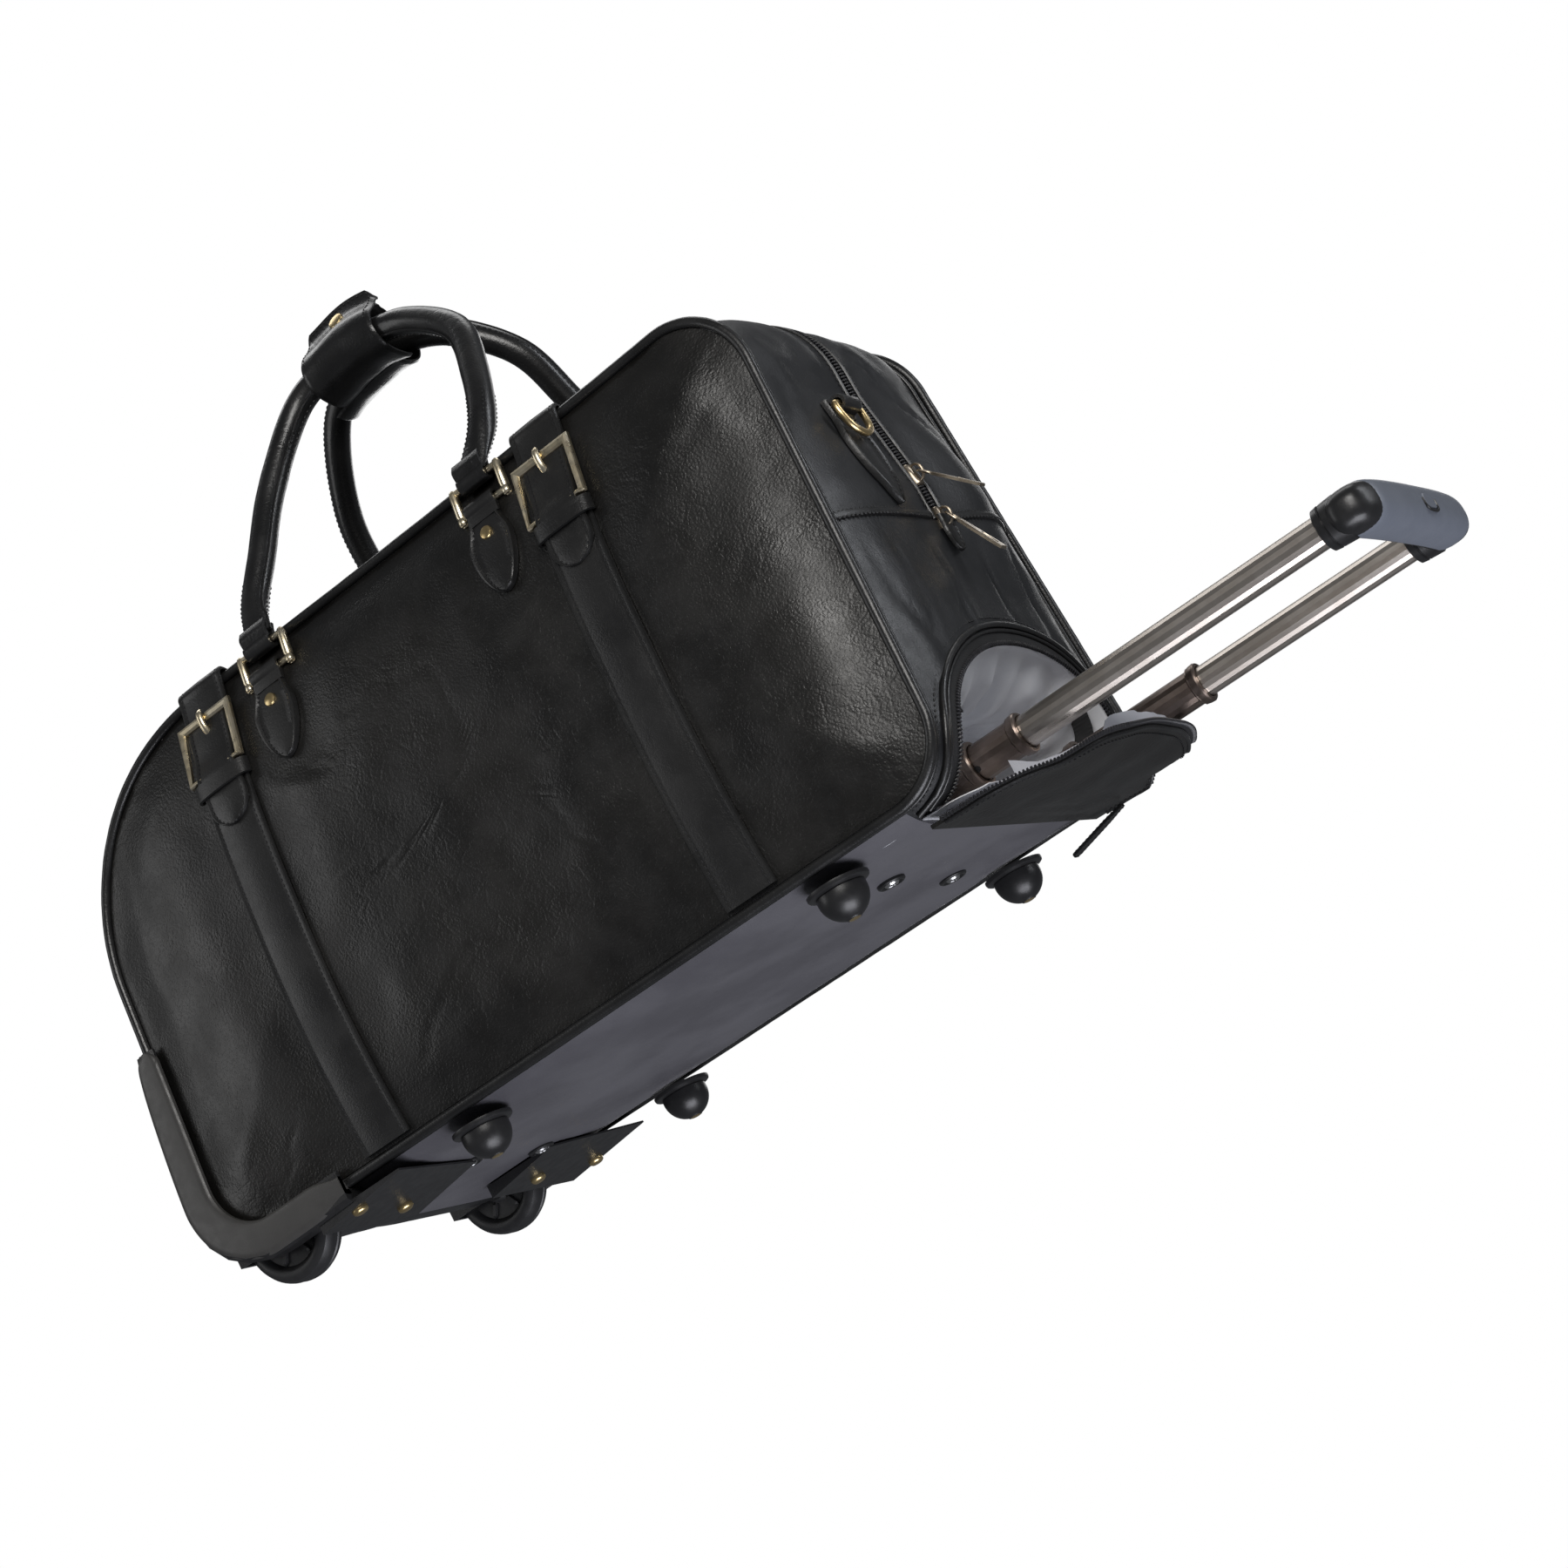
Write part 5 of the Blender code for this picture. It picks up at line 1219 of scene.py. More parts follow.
def make_shackle(face, side, end, x, body):
    """Two round brass side bars with slotted screw heads, joined by two pins."""
    up = Vector((0, -side * math.sin(RING_LEAN), math.cos(RING_LEAN)))
    low = Vector((x, side * HINGE_Y, HINGE_Z))
    bm = bmesh.new()
    for sign in (-1, 1):
        place = low + Vector((sign * RING_WIDTH / 2, 0, 0)) - up * 0.0035
        profile = [(0.0, 0.0), (0.0, 0.0022), (0.0005, 0.0027), (0.0012, 0.0029), (0.0035, 0.0029)]
        profile += [(0.0040, 0.0025), (0.0048, 0.0025), (0.0054, 0.0029), (RING_HEIGHT + 0.0030, 0.0027)]
        profile += [(RING_HEIGHT + 0.0052, 0.0021), (RING_HEIGHT + 0.0062, 0.0010)]
        profile += [(RING_HEIGHT + 0.0065, 0.0)]
        add_turned(bm, profile, place, up, 20)
        # The screw's slot, as two raised lips beside a line.
        out = Vector((0, side * math.cos(RING_LEAN), math.sin(RING_LEAN)))
        for lip in (-1, 1):
            centre = place - up * 0.0001 + out * (lip * 0.0011)
            add_bead(bm, centre, X_AXIS, -up, 0.0042, 0.0013, 0.0005)
    for rise in (0.0, RING_HEIGHT):
        place = low + up * rise - Vector((RING_WIDTH / 2, 0, 0))
        profile = [(0.0, 0.0), (0.0, 0.0019), (RING_WIDTH, 0.0019), (RING_WIDTH, 0.0)]
        add_turned(bm, profile, place, X_AXIS, 14)
    add_piece(f"shackle_{face}_{end}", bm, "brass", body, replaces=(f"handle_ring_{face}_{end}",))


def make_wrap(face, side):
    """Half of the snap-closed wrap: a sleeve over one handle that runs up into a stitched fin."""
    body = f"carry_{face}"
    points = arch_points(side, 16)
    lengths = distances(points)
    curve = smooth_curve([(y, rise, 0) for y, rise in WRAP_SECTION], 4)
    steps = 34
    rows_out = []
    rows_in = []
    for n, share in enumerate(spread(WRAP_START, WRAP_END, steps)):
        target = share * lengths[-1]
        i = max(k for k in range(len(points) - 1) if lengths[k] <= target)
        point = points[i].lerp(points[i + 1], (target - lengths[i]) / (lengths[i + 1] - lengths[i]))
        row_out = []
        row_in = []
        end = min(n, steps - n) / steps
        for k, (p, along) in enumerate(zip(curve, tangents(curve))):
            up_share = ease(k / (len(curve) - 1), 0.80, 1.0)
            height = point.z + p.y - 0.006 * up_share * (1 - ease(end, 0.0, 0.09))
            thick = 0.0022 * (0.45 + 0.55 * ease(end, 0.0, 0.03))
            loose = 0.0007 * noise.noise(Vector((point.x, p.x, p.y)) / 0.016) * (1 - up_share)
            row_in.append(Vector((point.x, side * (p.x + along.y * loose), height - along.x * loose)))
            row_out.append(Vector((point.x, side * (p.x + along.y * (thick + loose)),
                                   height - along.x * (thick + loose))))
        rows_out.append(row_out)
        rows_in.append(row_in)
    make_piece(f"wrap_leather_{face}", "handle_leather", body, add_shell,
               rows_out, rows_in, replaces=(f"handle_wrap_{face}",), smooth=50)
    threads = bmesh.new()
    last = len(curve) - 3
    out = Vector((0, side, 0))
    edge = [row[last] + out * 0.0001 for row in rows_out[2:-2]]
    add_stitches(threads, edge, [out] * len(edge), 0.0034, 0.0010, 0.62)
    for n in (2, steps - 2):
        over, under = (rows[n][len(curve) // 2:last] for rows in (rows_out, rows_in))
        outs = [(a - b).normalized() for a, b in zip(over, under)]
        add_stitches(threads, over, outs, 0.0034, 0.0010, 0.62)
    add_piece(f"wrap_stitches_{face}", threads, "thread", body)
    make_piece(f"wrap_snap_{face}", "old_brass", body, add_rivet,
               rows_out[steps // 2][-11], Vector((0, side * 0.80, 0.60)), 0.0054, 0.0016)


# ---- main zip ----------------------------------------------------------------------------
def make_main_zip():
    seam_a = marks["handle_seam"]
    seam_b = marks["wheel_seam"]
    chosen = outline[seam_a:seam_b + 1]
    tape = (ZIP_HALF - GAP) / HALF_DEPTH_LOW * 0.95
    shares = spread(-tape, tape, 6)
    outer = [[gusset_point(sample, share, 0.0006) for share in shares] for sample in chosen]
    inner = [[gusset_point(sample, share, 0.0016) for share in shares] for sample in chosen]
    make_piece("zip_tape", "zip_tape", "bag", add_shell, outer, inner, replaces=("main_zip",))
    line = [gusset_point(sample, 0.0, -0.0001) for sample in chosen]
    outs = [Vector((sample[2], 0, sample[3])).normalized() for sample in chosen]
    teeth = bmesh.new()
    side = Y_AXIS
    for centre, out, along in resample(line, outs, 0.0021):
        for sign in (-1, 1):
            shift = along * (0.0004 * sign)
            add_bead(teeth, centre + shift + side * (sign * 0.0014), side, out, 0.0040, 0.0014, 0.0014)
    add_piece("zip_coil", teeth, "coil")
    # The folded leather edges along the zip, each with a row of stitches.
    welts = bmesh.new()
    threads = bmesh.new()
    for sign in (-1, 1):
        welt, stitched = (
            [gusset_point(s, sign * (ZIP_HALF + beside) / half_depth(s[0], s[1]), -lift) for s in chosen]
            for beside, lift in ((0.0008, 0.0003), (0.0036, 0.0006)))
        add_sweep(welts, free_frames(welt, Vector((0.02, 0, 1))), circle(0.0011, 8))
        add_stitches(threads, stitched, outs, 0.0036, 0.0009, 0.62)
    add_piece("zip_welts", welts, "strap_leather")
    add_piece("zip_stitches", threads, "thread")
    # The leather stop below the zip's lower end, which hangs over the level seam.
    def place(across, down, lift):
        z = END_SEAM_Z + 0.002 - down
        return Vector((end_reach(1, across, z) + 0.0018 + lift, across + 0.001, z))
    make_leaf("zip_stop", (), place, 0.024, 0.0075, 0.0065, 0.0022)


def make_slider(name, y, z, body):
    """A slider with its bridge on the bag, and a slotted pull that swings from the bridge."""
    x = end_reach(1, y, z)
    slope = math.atan2(end_reach(1, y, z - 0.004) - end_reach(1, y, z + 0.004), 0.008)
    up = Vector((-math.sin(slope), 0, math.cos(slope)))
    out = Vector((math.cos(slope), 0, math.sin(slope)))
    across = Y_AXIS
    centre = Vector((x, y, z))
    bm = bmesh.new()
    frames = []
    for h, wide, tall in ((-0.0070, 0.0026, 0.0016), (-0.0062, 0.0036, 0.0026), (-0.001, 0.0040, 0.0025),
                          (0.0030, 0.0048, 0.0025), (0.0060, 0.0048, 0.0023), (0.0068, 0.0040, 0.0016)):
        frames.append((centre + up * h + out * 0.0008, across * wide, out * tall))
    add_sweep(bm, frames, both_sides([(-1, -0.3), (-1, 0.35), (-0.75, 0.85), (-0.3, 1.0)]))
    bridge = [centre + up * h + out * d for h, d in ((-0.0052, 0.0026), (-0.0046, 0.0052), (-0.0020, 0.0072),
                                                     (0.0020, 0.0076), (0.0046, 0.0056), (0.0052, 0.0026))]
    add_sweep(bm, path_frames(smooth_curve(bridge, 4), across), [(a, b * 1.5) for a, b in circle(0.0008, 8)])
    add_piece(f"zip_slider_{name}", bm, "gunmetal")
    swing = math.radians(PULL_SWING[name])
    hang = Vector((math.sin(swing), 0, -math.cos(swing)))
    facing = Vector((math.cos(swing), 0, math.sin(swing)))
    top = Vector((x + PULL_STAND_OFF, y, z))
    make_plate(f"zip_pull_{name}", top, hang, across, facing, "gunmetal", body, f"main_zip_pull_{name}")


def make_plate(name, top, hang, across, facing, look, body, node):
    """A long pull: an eye at its top, a narrow neck, and a slotted blade."""
    def loop(points, level):
        return [top + hang * down + across * wide + facing * level for wide, down in points]
    length = PULL_LENGTH
    blade = both_sides([(0.0022, 0.0075), (0.0030, 0.012), (0.0038, 0.020),
                        (0.0041, length * 0.92), (0.0034, length)])
    slot = both_sides([(0.0006, 0.0225), (0.0011, 0.0232), (0.0013, 0.0245),
                       (0.0014, length - 0.0058), (0.0009, length - 0.0046)])
    half = 0.0009
    bm = bmesh.new()
    rows = []
    for points, shrink, level in ((blade, 1.0, -half), (blade, 1.0, half * 0.5), (blade, 0.86, half),
                                  (slot, 1.12, half), (slot, 1.0, half * 0.5), (slot, 1.0, -half),
                                  (blade, 1.0, -half)):
        middle = sum(d for _, d in points) / len(points)
        shaped = [(w * shrink, middle + (d - middle) * (1 - (1 - shrink) * 0.25)) for w, d in points]
        rows.append(loop(shaped, level))
    add_grid(bm, rows, closed=True)
    bmesh.ops.remove_doubles(bm, verts=bm.verts, dist=1e-7)
    eye = [top + hang * d + across * w
           for w, d in ((0.0, -0.0016), (0.0019, -0.0008), (0.0023, 0.0020), (0.0021, 0.0060),
                        (0.0, 0.0082), (-0.0021, 0.0060), (-0.0023, 0.0020), (-0.0019, -0.0008))]
    add_wire_loop(bm, eye, facing, 0.0008, 8, 4)
    add_piece(name, bm, look, body, replaces=(node,), smooth=30)


# ---- underside ---------------------------------------------------------------------------
def make_feet():
    dome = [(0.0, 0.0), (0.0, FOOT_FLAT * 0.5), (0.0003, FOOT_FLAT * 0.9)]
    for angle in spread(math.degrees(math.asin(FOOT_FLAT / FOOT_RADIUS)), 90, 14):
        turn = math.radians(angle)
        dome.append((FOOT_RADIUS * (1 - math.cos(turn)), FOOT_RADIUS * math.sin(turn)))
    top = BOTTOM_Z - GAP
    dome += [(top - 0.0038, FOOT_RADIUS), (top - 0.0034, FOOT_RADIUS * 0.975),
             (top - 0.0030, FOOT_RADIUS * 1.02), (top - 0.0028, FOOT_FLANGE * 0.93),
             (top - 0.0022, FOOT_FLANGE * 0.98), (top - 0.0012, FOOT_FLANGE), (top, FOOT_FLANGE), (top, 0.0)]
    button = [(-0.0001, 0.0), (-0.0001, 0.0030), (0.0002, 0.0036), (0.0010, 0.0036), (0.0010, 0.0)]
    for row, x in zip(("handle_end", "wheel_end"), FOOT_X):
        for face, side in FACES:
            make_piece(f"foot_dome_{row}_{face}", "black_plastic", "bag", add_turned,
                       dome, (x, side * FOOT_Y, 0), Z_AXIS, 48, replaces=(f"foot_{row}_{face}",), smooth=32)
            make_piece(f"foot_cap_{row}_{face}", "old_brass", "bag", add_turned,
                       button, (x, side * FOOT_Y, 0), Z_AXIS, 24)


def make_fixings():
    cups = bmesh.new()
    screws = bmesh.new()
    rivets = bmesh.new()
    down = -Z_AXIS
    cup = [(-0.002, 0.0), (-0.002, 0.0085), (0.0006, 0.0085), (0.0014, 0.0076),
           (0.0014, 0.0066), (0.0003, 0.0058), (0.0003, 0.0)]
    head = [(-0.001, 0.0), (-0.001, 0.0046), (0.0008, 0.0046), (0.0018, 0.0036),
            (0.0022, 0.0018), (0.0022, 0.0)]
    for x in SCREW_X:
        for y in (-SCREW_Y, SCREW_Y):
            place = Vector((x, y, BOTTOM_Z + 0.0004))
            add_turned(cups, cup, place, down, 32)
            add_turned(screws, head, place, down, 24)
            for along in (Vector((0.8, 0.6, 0)), Vector((-0.6, 0.8, 0))):
                add_bead(screws, place + down * 0.0020, along, down, 0.0054, 0.0011, 0.0006)
    for face, side in FACES:
        for x, y in PLATE_RIVETS:
            place, out = plate_under(face, x, side * y)
            add_rivet(rivets, place, out, 0.0050, 0.0030)
    add_piece("screw_cups", cups, "black_plastic", smooth=32)
    add_piece("screws", screws, "steel", smooth=32)
    add_piece("plate_rivets", rivets, "old_brass")


def plate_under(face, x, y):
    """The place and direction of a wheel housing's underside at one spot."""
    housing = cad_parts[f"wheel_housing_{face}"]
    into = housing.matrix_world.inverted()
    start = into @ (Vector((x, y, -0.05)) + SHIFT)
    hit, place, normal, _ = housing.ray_cast(start, into.to_3x3() @ Z_AXIS)
    if not hit:
        raise ValueError("nothing of the housing over %.4f, %.4f" % (x, y))
    return housing.matrix_world @ place - SHIFT, (housing.matrix_world.to_3x3() @ normal).normalized()


def make_wheels():
    for face, side in FACES:
        bm = bmesh.new()
        hub = Vector((WHEEL_X, side * WHEEL_Y, WHEEL_RADIUS))
        half = WHEEL_WIDTH / 2
        profile = [(-half + 0.0012, 0.0034), (-half, 0.0042), (-half, 0.0085), (-half + 0.0008, 0.0092),
                   (-half + 0.0034, 0.0105), (-half + 0.0034, 0.0205), (-half + 0.0010, 0.0225),
                   (-half + 0.0004, 0.0240), (-half + 0.0006, 0.0268), (-half + 0.0022, 0.0294),
                   (-half + 0.0050, 0.0307), (-0.0030, WHEEL_RADIUS), (-0.0022, WHEEL_RADIUS - 0.0006)]
        mirrored = [(-along, radius) for along, radius in reversed(profile)]
        add_turned(bm, profile + mirrored, hub, Y_AXIS, 64, closed=True)
        for n in range(6):
            angle = 2 * math.pi * n / 6
            along = X_AXIS * math.cos(angle) + Z_AXIS * math.sin(angle)
            for sign in (-1, 1):
                centre = hub + Y_AXIS * (sign * (half - 0.0034)) + along * 0.0152
                add_bead(bm, centre, along, Vector((0, sign, 0)), 0.0130, 0.0032, 0.0022)
        add_piece(f"tyre_{face}", bm, "tyre", f"wheel_{face}_body", replaces=(f"wheel_{face}",), smooth=32)


RAIL_SECTION = ((-1.0, 0.0004), (-1.0, 0.0026), (-0.93, 0.0035), (-0.80, 0.0040), (-0.62, 0.0041),
                (0.55, 0.0037), (0.80, 0.0031), (0.94, 0.0018), (1.0, -0.0004), (1.0, -0.0030),
                (0.9, -0.0030), (-0.8, 0.0004))


def rail_samples(steps):
    low = corner(WHEEL_END_X + RADIUS_LOW_WHEEL, SEAM_LOW + RADIUS_LOW_WHEEL, RADIUS_LOW_WHEEL, 180, 6)
    top = [(WHEEL_END_X, z, -1.0, 0.0) for z in (0.166, 0.155, 0.135, 0.105)]
    front = [(x, SEAM_LOW, 0.0, -1.0) for x in (-0.200, -0.174)]
    reach = [0.0085, 0.0115, 0.0140, 0.0160, 0.017, 0.018, 0.0185, 0.018, 0.017, 0.016, 0.0150,
             0.0145, 0.0135]
    places = smooth_curve([(x, z, r) for (x, z, _, _), r in zip(top + low + front, reach)], steps)
    normals = smooth_curve([(nx, nz, 0) for _, _, nx, nz in top + low + front], steps)
    return [(p.x, p.y, n.normalized(), p.z) for p, n in zip(places, normals)]


def make_rail(face, side):
    """The satin face of the moulded corner rail, with its rounded inner edge, over the housing."""
    samples = rail_samples(6)
    rows = []
    for n, (x, z, normal, reach) in enumerate(samples):
        end = min(n, len(samples) - 1 - n) / 5.0
        shrink = 0.55 + 0.45 * ease(end, 0.0, 1.0)
        if n < 6:
            shrink = math.sqrt(max(1 - max(1 - end, 0.0) ** 2, 0.02))
        lip_in = half_depth(x, z) + LEATHER + PIPING_RADIUS + 0.0008
        middle = (reach - 0.005) / 2
        half = (reach + 0.005) / 2 * shrink + 0.0006
        row = []
        for t, lift in RAIL_SECTION:
            off = middle + half * t
            row.append(Vector((x + normal.x * off, side * (lip_in + lift), z + normal.y * off)))
        rows.append(row)
    make_piece(f"corner_rail_{face}", "rail_plastic", "bag", add_capped, rows, smooth=32)


# ---- trolley -----------------------------------------------------------------------------
def make_trolley():
    for leg, side in (("near", -1), ("far", 1)):
        y = side * TUBE_Y
        for name, end, radius, body in (("outer", OUTER_END, OUTER_RADIUS, "bag"),
                                        ("middle", MIDDLE_END[leg], MIDDLE_RADIUS, f"middle_stage_{leg}")):
            inner = radius - 0.0006
            profile = [(-0.0050, inner), (-0.0050, radius + 0.0004), (-0.0044, radius + 0.0012),
                       (-0.0026, radius + 0.0016), (-0.0004, radius + 0.0018), (0.0006, radius + 0.0012),
                       (0.0008, radius + 0.0002), (0.0008, inner)]
            make_piece(f"tube_collar_{name}_{leg}", "dark_tube_metal", body, add_turned,
                       profile, (end, y, TUBE_Z), X_AXIS, 48, closed=True, smooth=32)
        out = Vector((0, -0.90, -0.42)).normalized()
        place = Vector((MIDDLE_END[leg] - LOCK_PIN_BACK, y, TUBE_Z)) + out * MIDDLE_RADIUS
        make_piece(f"lock_pin_{leg}", "black_plastic", f"middle_stage_{leg}", add_turned,
                   [(0.0001, 0.0), (0.0001, 0.0019), (-0.0010, 0.0021), (-0.0010, 0.0)], place, out, 20)
        profile = [(0.0003, INNER_RADIUS + 0.0002), (0.0003, 0.0108), (0.0010, 0.0119), (0.0045, 0.0125),
                   (0.0052, 0.0118), (0.0060, 0.0125), (0.0140, 0.0131), (0.0150, 0.0125),
                   (0.0150, INNER_RADIUS + 0.0002)]
        make_piece(f"grip_sleeve_{leg}", "black_plastic", "grip", add_turned,
                   profile, (SOCKET_X, y, TUBE_Z), X_AXIS, 48, closed=True, smooth=32)


def rounded_section(half_a, half_b, sides, power=2.6):
    """A rounded rectangle; the higher the power, the squarer its corners."""
    def swollen(value, half):
        return math.copysign(abs(value) ** (2 / power), value) * half

    angles = [2 * math.pi * (i + 0.5) / sides for i in range(sides)]
    return [(swollen(math.cos(a), half_a), swollen(math.sin(a), half_b)) for a in angles]


def make_grip():
    """The grip: a rubbery grey cover over the outer face of a black bar with rounded elbows."""
    def frame_at(y):
        slow = math.sin(y * math.pi / 2)
        size = max(1 - abs(slow) ** 10, 0.0001) ** 0.35
        origin = Vector((GRIP_X - 0.004 * abs(slow) ** 3, slow * GRIP_HALF_Y, TUBE_Z))
        return origin, Vector((size, 0, 0)), Vector((0, 0, size))
    section = rounded_section(GRIP_HALF_X - 0.0002, GRIP_HALF_Z - 0.0002, 32)
    bar = make_piece("grip_bar", "black_plastic", "grip", add_sweep,
                     [frame_at(y) for y in spread(-1.0, 1.0, 48)], section,
                     replaces=("grip_body",), smooth=40)
    bar.modifiers.new("soft", "BEVEL").width = 0.0004
    settle(bar)
    start = math.asin(COVER_HALF_Y / GRIP_HALF_Y) * 2 / math.pi
    frames = []
    for n, y in enumerate(spread(-start, start, 44)):
        origin, a, b = frame_at(y)
        end = min(n, 44 - n) / 2.0
        swell = 0.94 + 0.075 * ease(end, 0.0, 1.0)
        frames.append((origin, a * swell, b * swell))
    ring = rounded_section(GRIP_HALF_X, GRIP_HALF_Z, 48)
    section = [(a, b) for a, b in ring if a > -0.0085]
    section.sort(key=lambda p: math.atan2(p[1], p[0]))
    make_piece("grip_rubber", "grip_grey", "grip", add_sweep,
               frames, section, replaces=("grip_cover",), smooth=40)
    face = GRIP_X + GRIP_HALF_X
    ring = rounded_section(0.0096, 0.0060, 28, 3.0)
    path = [Vector((face + 0.0004, a, 0.0405 + b)) for a, b in ring[13:] + ring[:1]]
    make_piece("grip_button_rim", "black_plastic", "grip", add_sweep,
               path_frames(path, X_AXIS), circle(0.0007, 8))


# ---- trolley pocket ----------------------------------------------------------------------
def mouth_line(grow, steps=60):
    """The arched edge of the pocket's mouth on the end panel, from one foot to the other."""
    points = []
    for y, z in mouth_section(grow, steps, 0.0265)[1:-1]:
        points.append((y, z))
    low = [(MOUTH_HALF_WIDTH + grow, z) for z in spread(0.026, 0.043, 4)]
    points = low + points + [(-y, z) for y, z in reversed(low)]
    return [Vector((end_reach(1, y, max(z, SEAM_LOW)), y, z)) for y, z in points]


def corner_x(y, z):
    """Like end_reach, but also round the bag's lower corner."""
    if z > SEAM_LOW + RADIUS_LOW_HANDLE:
        return end_reach(1, y, z)
    share = min(abs(y) / half_depth(HANDLE_END_X, z), 1.0)
    drop = SEAM_LOW + RADIUS_LOW_HANDLE - z
    crown_end = CROWN_END * (1 - share ** 4)
    reach_x = RADIUS_LOW_HANDLE + crown_end
    reach_z = RADIUS_LOW_HANDLE + CROWN_BOTTOM * (1 - share ** 8)
    part = min(drop / reach_z, 0.999)
    return HANDLE_END_X - RADIUS_LOW_HANDLE + reach_x * math.sqrt(1 - part * part)


def make_pocket():
    # The arched zip round the mouth: a cord, a stitched band, the tape and the coil.
    threads = bmesh.new()
    cord = bmesh.new()
    coil = bmesh.new()
    out = X_AXIS
    arch = {}
    for grow in (-0.0075, -0.004, 0.0, 0.0035, 0.0085):
        arch[grow] = [Vector((corner_x(p.y, p.z), p.y, p.z)) for p in mouth_line(grow)]
    tape_lines = zip(arch[0.0], arch[-0.004], arch[-0.0075])
    outer = [[a + out * 0.0002, b + out * 0.0002, c] for a, b, c in tape_lines]
    inner = [[a - out * 0.0010, b - out * 0.0012, c - out * 0.0012] for a, b, c in outer]
    make_piece("pocket_zip_tape", "zip_tape", "bag", add_shell, outer, inner)
    for centre, _, along in resample(arch[-0.0075], [out] * len(arch[0.0]), 0.0022):
        across = along.cross(out).normalized()
        add_bead(coil, centre, across, out, 0.0038, 0.0015, 0.0015)
    for radius, grow, lift in ((0.0019, 0.0035, 0.0012), (0.0012, 0.0, 0.0007)):
        points = arch[grow]
        add_sweep(cord, free_frames([p + out * lift for p in points], out), circle(radius, 10))
    add_piece("pocket_mouth_cord", cord, "piping")
    stitched = [p + out * 0.0005 for p in arch[0.0085]]
    add_stitches(threads, stitched, [out] * len(stitched), 0.0034, 0.0009, 0.62)
    # The lining: a gathered arch of thin nylon that runs in from the mouth and ends in a back wall.
    rows = []
    section = mouth_line(-0.0075)
    for t in spread(0.0, 1.0, LINING_STEPS):
        row = []
        for j, p in enumerate(section):
            around = j / (len(section) - 1)
            hang = math.sin(math.pi * around)
            shrink = 1 - 0.10 * ease(t, 0.05, 0.5)
            start = corner_x(p.y, p.z) - 0.001
            x = start + (POCKET_BACK_X - start) * t
            seed = Vector((x * 0.55, p.y, p.z))
            folds = 0.0050 * noise.noise(seed / 0.024)
            folds += 0.0028 * noise.noise(seed / 0.010 + Vector((3, 1, 2)))
            folds += 0.0045 * math.sin(p.y * 190 + 40 * x + 3 * noise.noise(seed / 0.03)) * hang
            sag = 0.014 * hang * math.sin(math.pi * min(t * 1.15, 1.0))
            amount = ease(t, 0.0, 0.25)
            y = p.y * shrink * (1 - folds * amount / 0.09)
            z = POCKET_FLOOR_Z + (p.z - POCKET_FLOOR_Z) * shrink * (1 - (sag + folds) * amount / 0.09)
            row.append(Vector((x, y, max(z, POCKET_FLOOR_Z))))
        rows.append(row)
    for t in spread(0.0, 1.0, 9)[1:]:
        row = []
        for p in rows[LINING_STEPS]:
            x = POCKET_BACK_X + 0.004 * noise.noise(Vector((0, p.y * (1 - t), p.z)) / 0.02)
            z = POCKET_FLOOR_Z + (p.z - POCKET_FLOOR_Z) * (1 - t * 0.9)
            row.append(Vector((x, p.y * (1 - t * 0.96), z)))
        rows.append(row)
    lining = make_piece("pocket_lining", "nylon", "bag", add_grid, rows, smooth=80)
    thick = lining.modifiers.new("cloth", "SOLIDIFY")
    thick.thickness = 0.0005
    thick.offset = 0
    settle(lining)
    width = sum((b - a).length for a, b in zip(rows[0], rows[0][1:]))
    top = []
    under = []
    for x in spread(0.203, 0.272, 20):
        limit = 0.105 if x < 0.25 else 0.105 - (x - 0.25) * 0.5
        row = [Vector((x, y, 0)) for y in spread(-limit, limit, 40)]
        row = [spot + Z_AXIS * (0.0252 + 0.0010 * noise.noise(spot / 0.02)) for spot in row]
        top.append(row)
        under.append([spot - Z_AXIS * 0.0006 for spot in row])
    make_piece("pocket_floor", "nylon", "bag", add_shell, top, under, smooth=80)
    # Two webbing loops inside the mouth.
    webbing = bmesh.new()
    for path in (((0.262, -0.072, 0.094), (0.255, -0.052, 0.0855),
                  (0.247, -0.030, 0.083), (0.240, -0.012, 0.087)),
                 ((0.268, 0.079, 0.088), (0.266, 0.087, 0.074),
                  (0.262, 0.091, 0.060), (0.255, 0.088, 0.052))):
        points = smooth_curve(path, 6)
        section = [(-0.0006, -0.0055), (0.0006, -0.0055), (0.0008, 0.0), (0.0006, 0.0055), (-0.0006, 0.0055)]
        add_sweep(webbing, path_frames(points, Vector((0.94, 0.2, -0.25)).normalized()), section)
    add_piece("pocket_webbing", webbing, "webbing")
    add_piece("pocket_coil", coil, "coil")
    add_piece("pocket_stitches", threads, "thread")


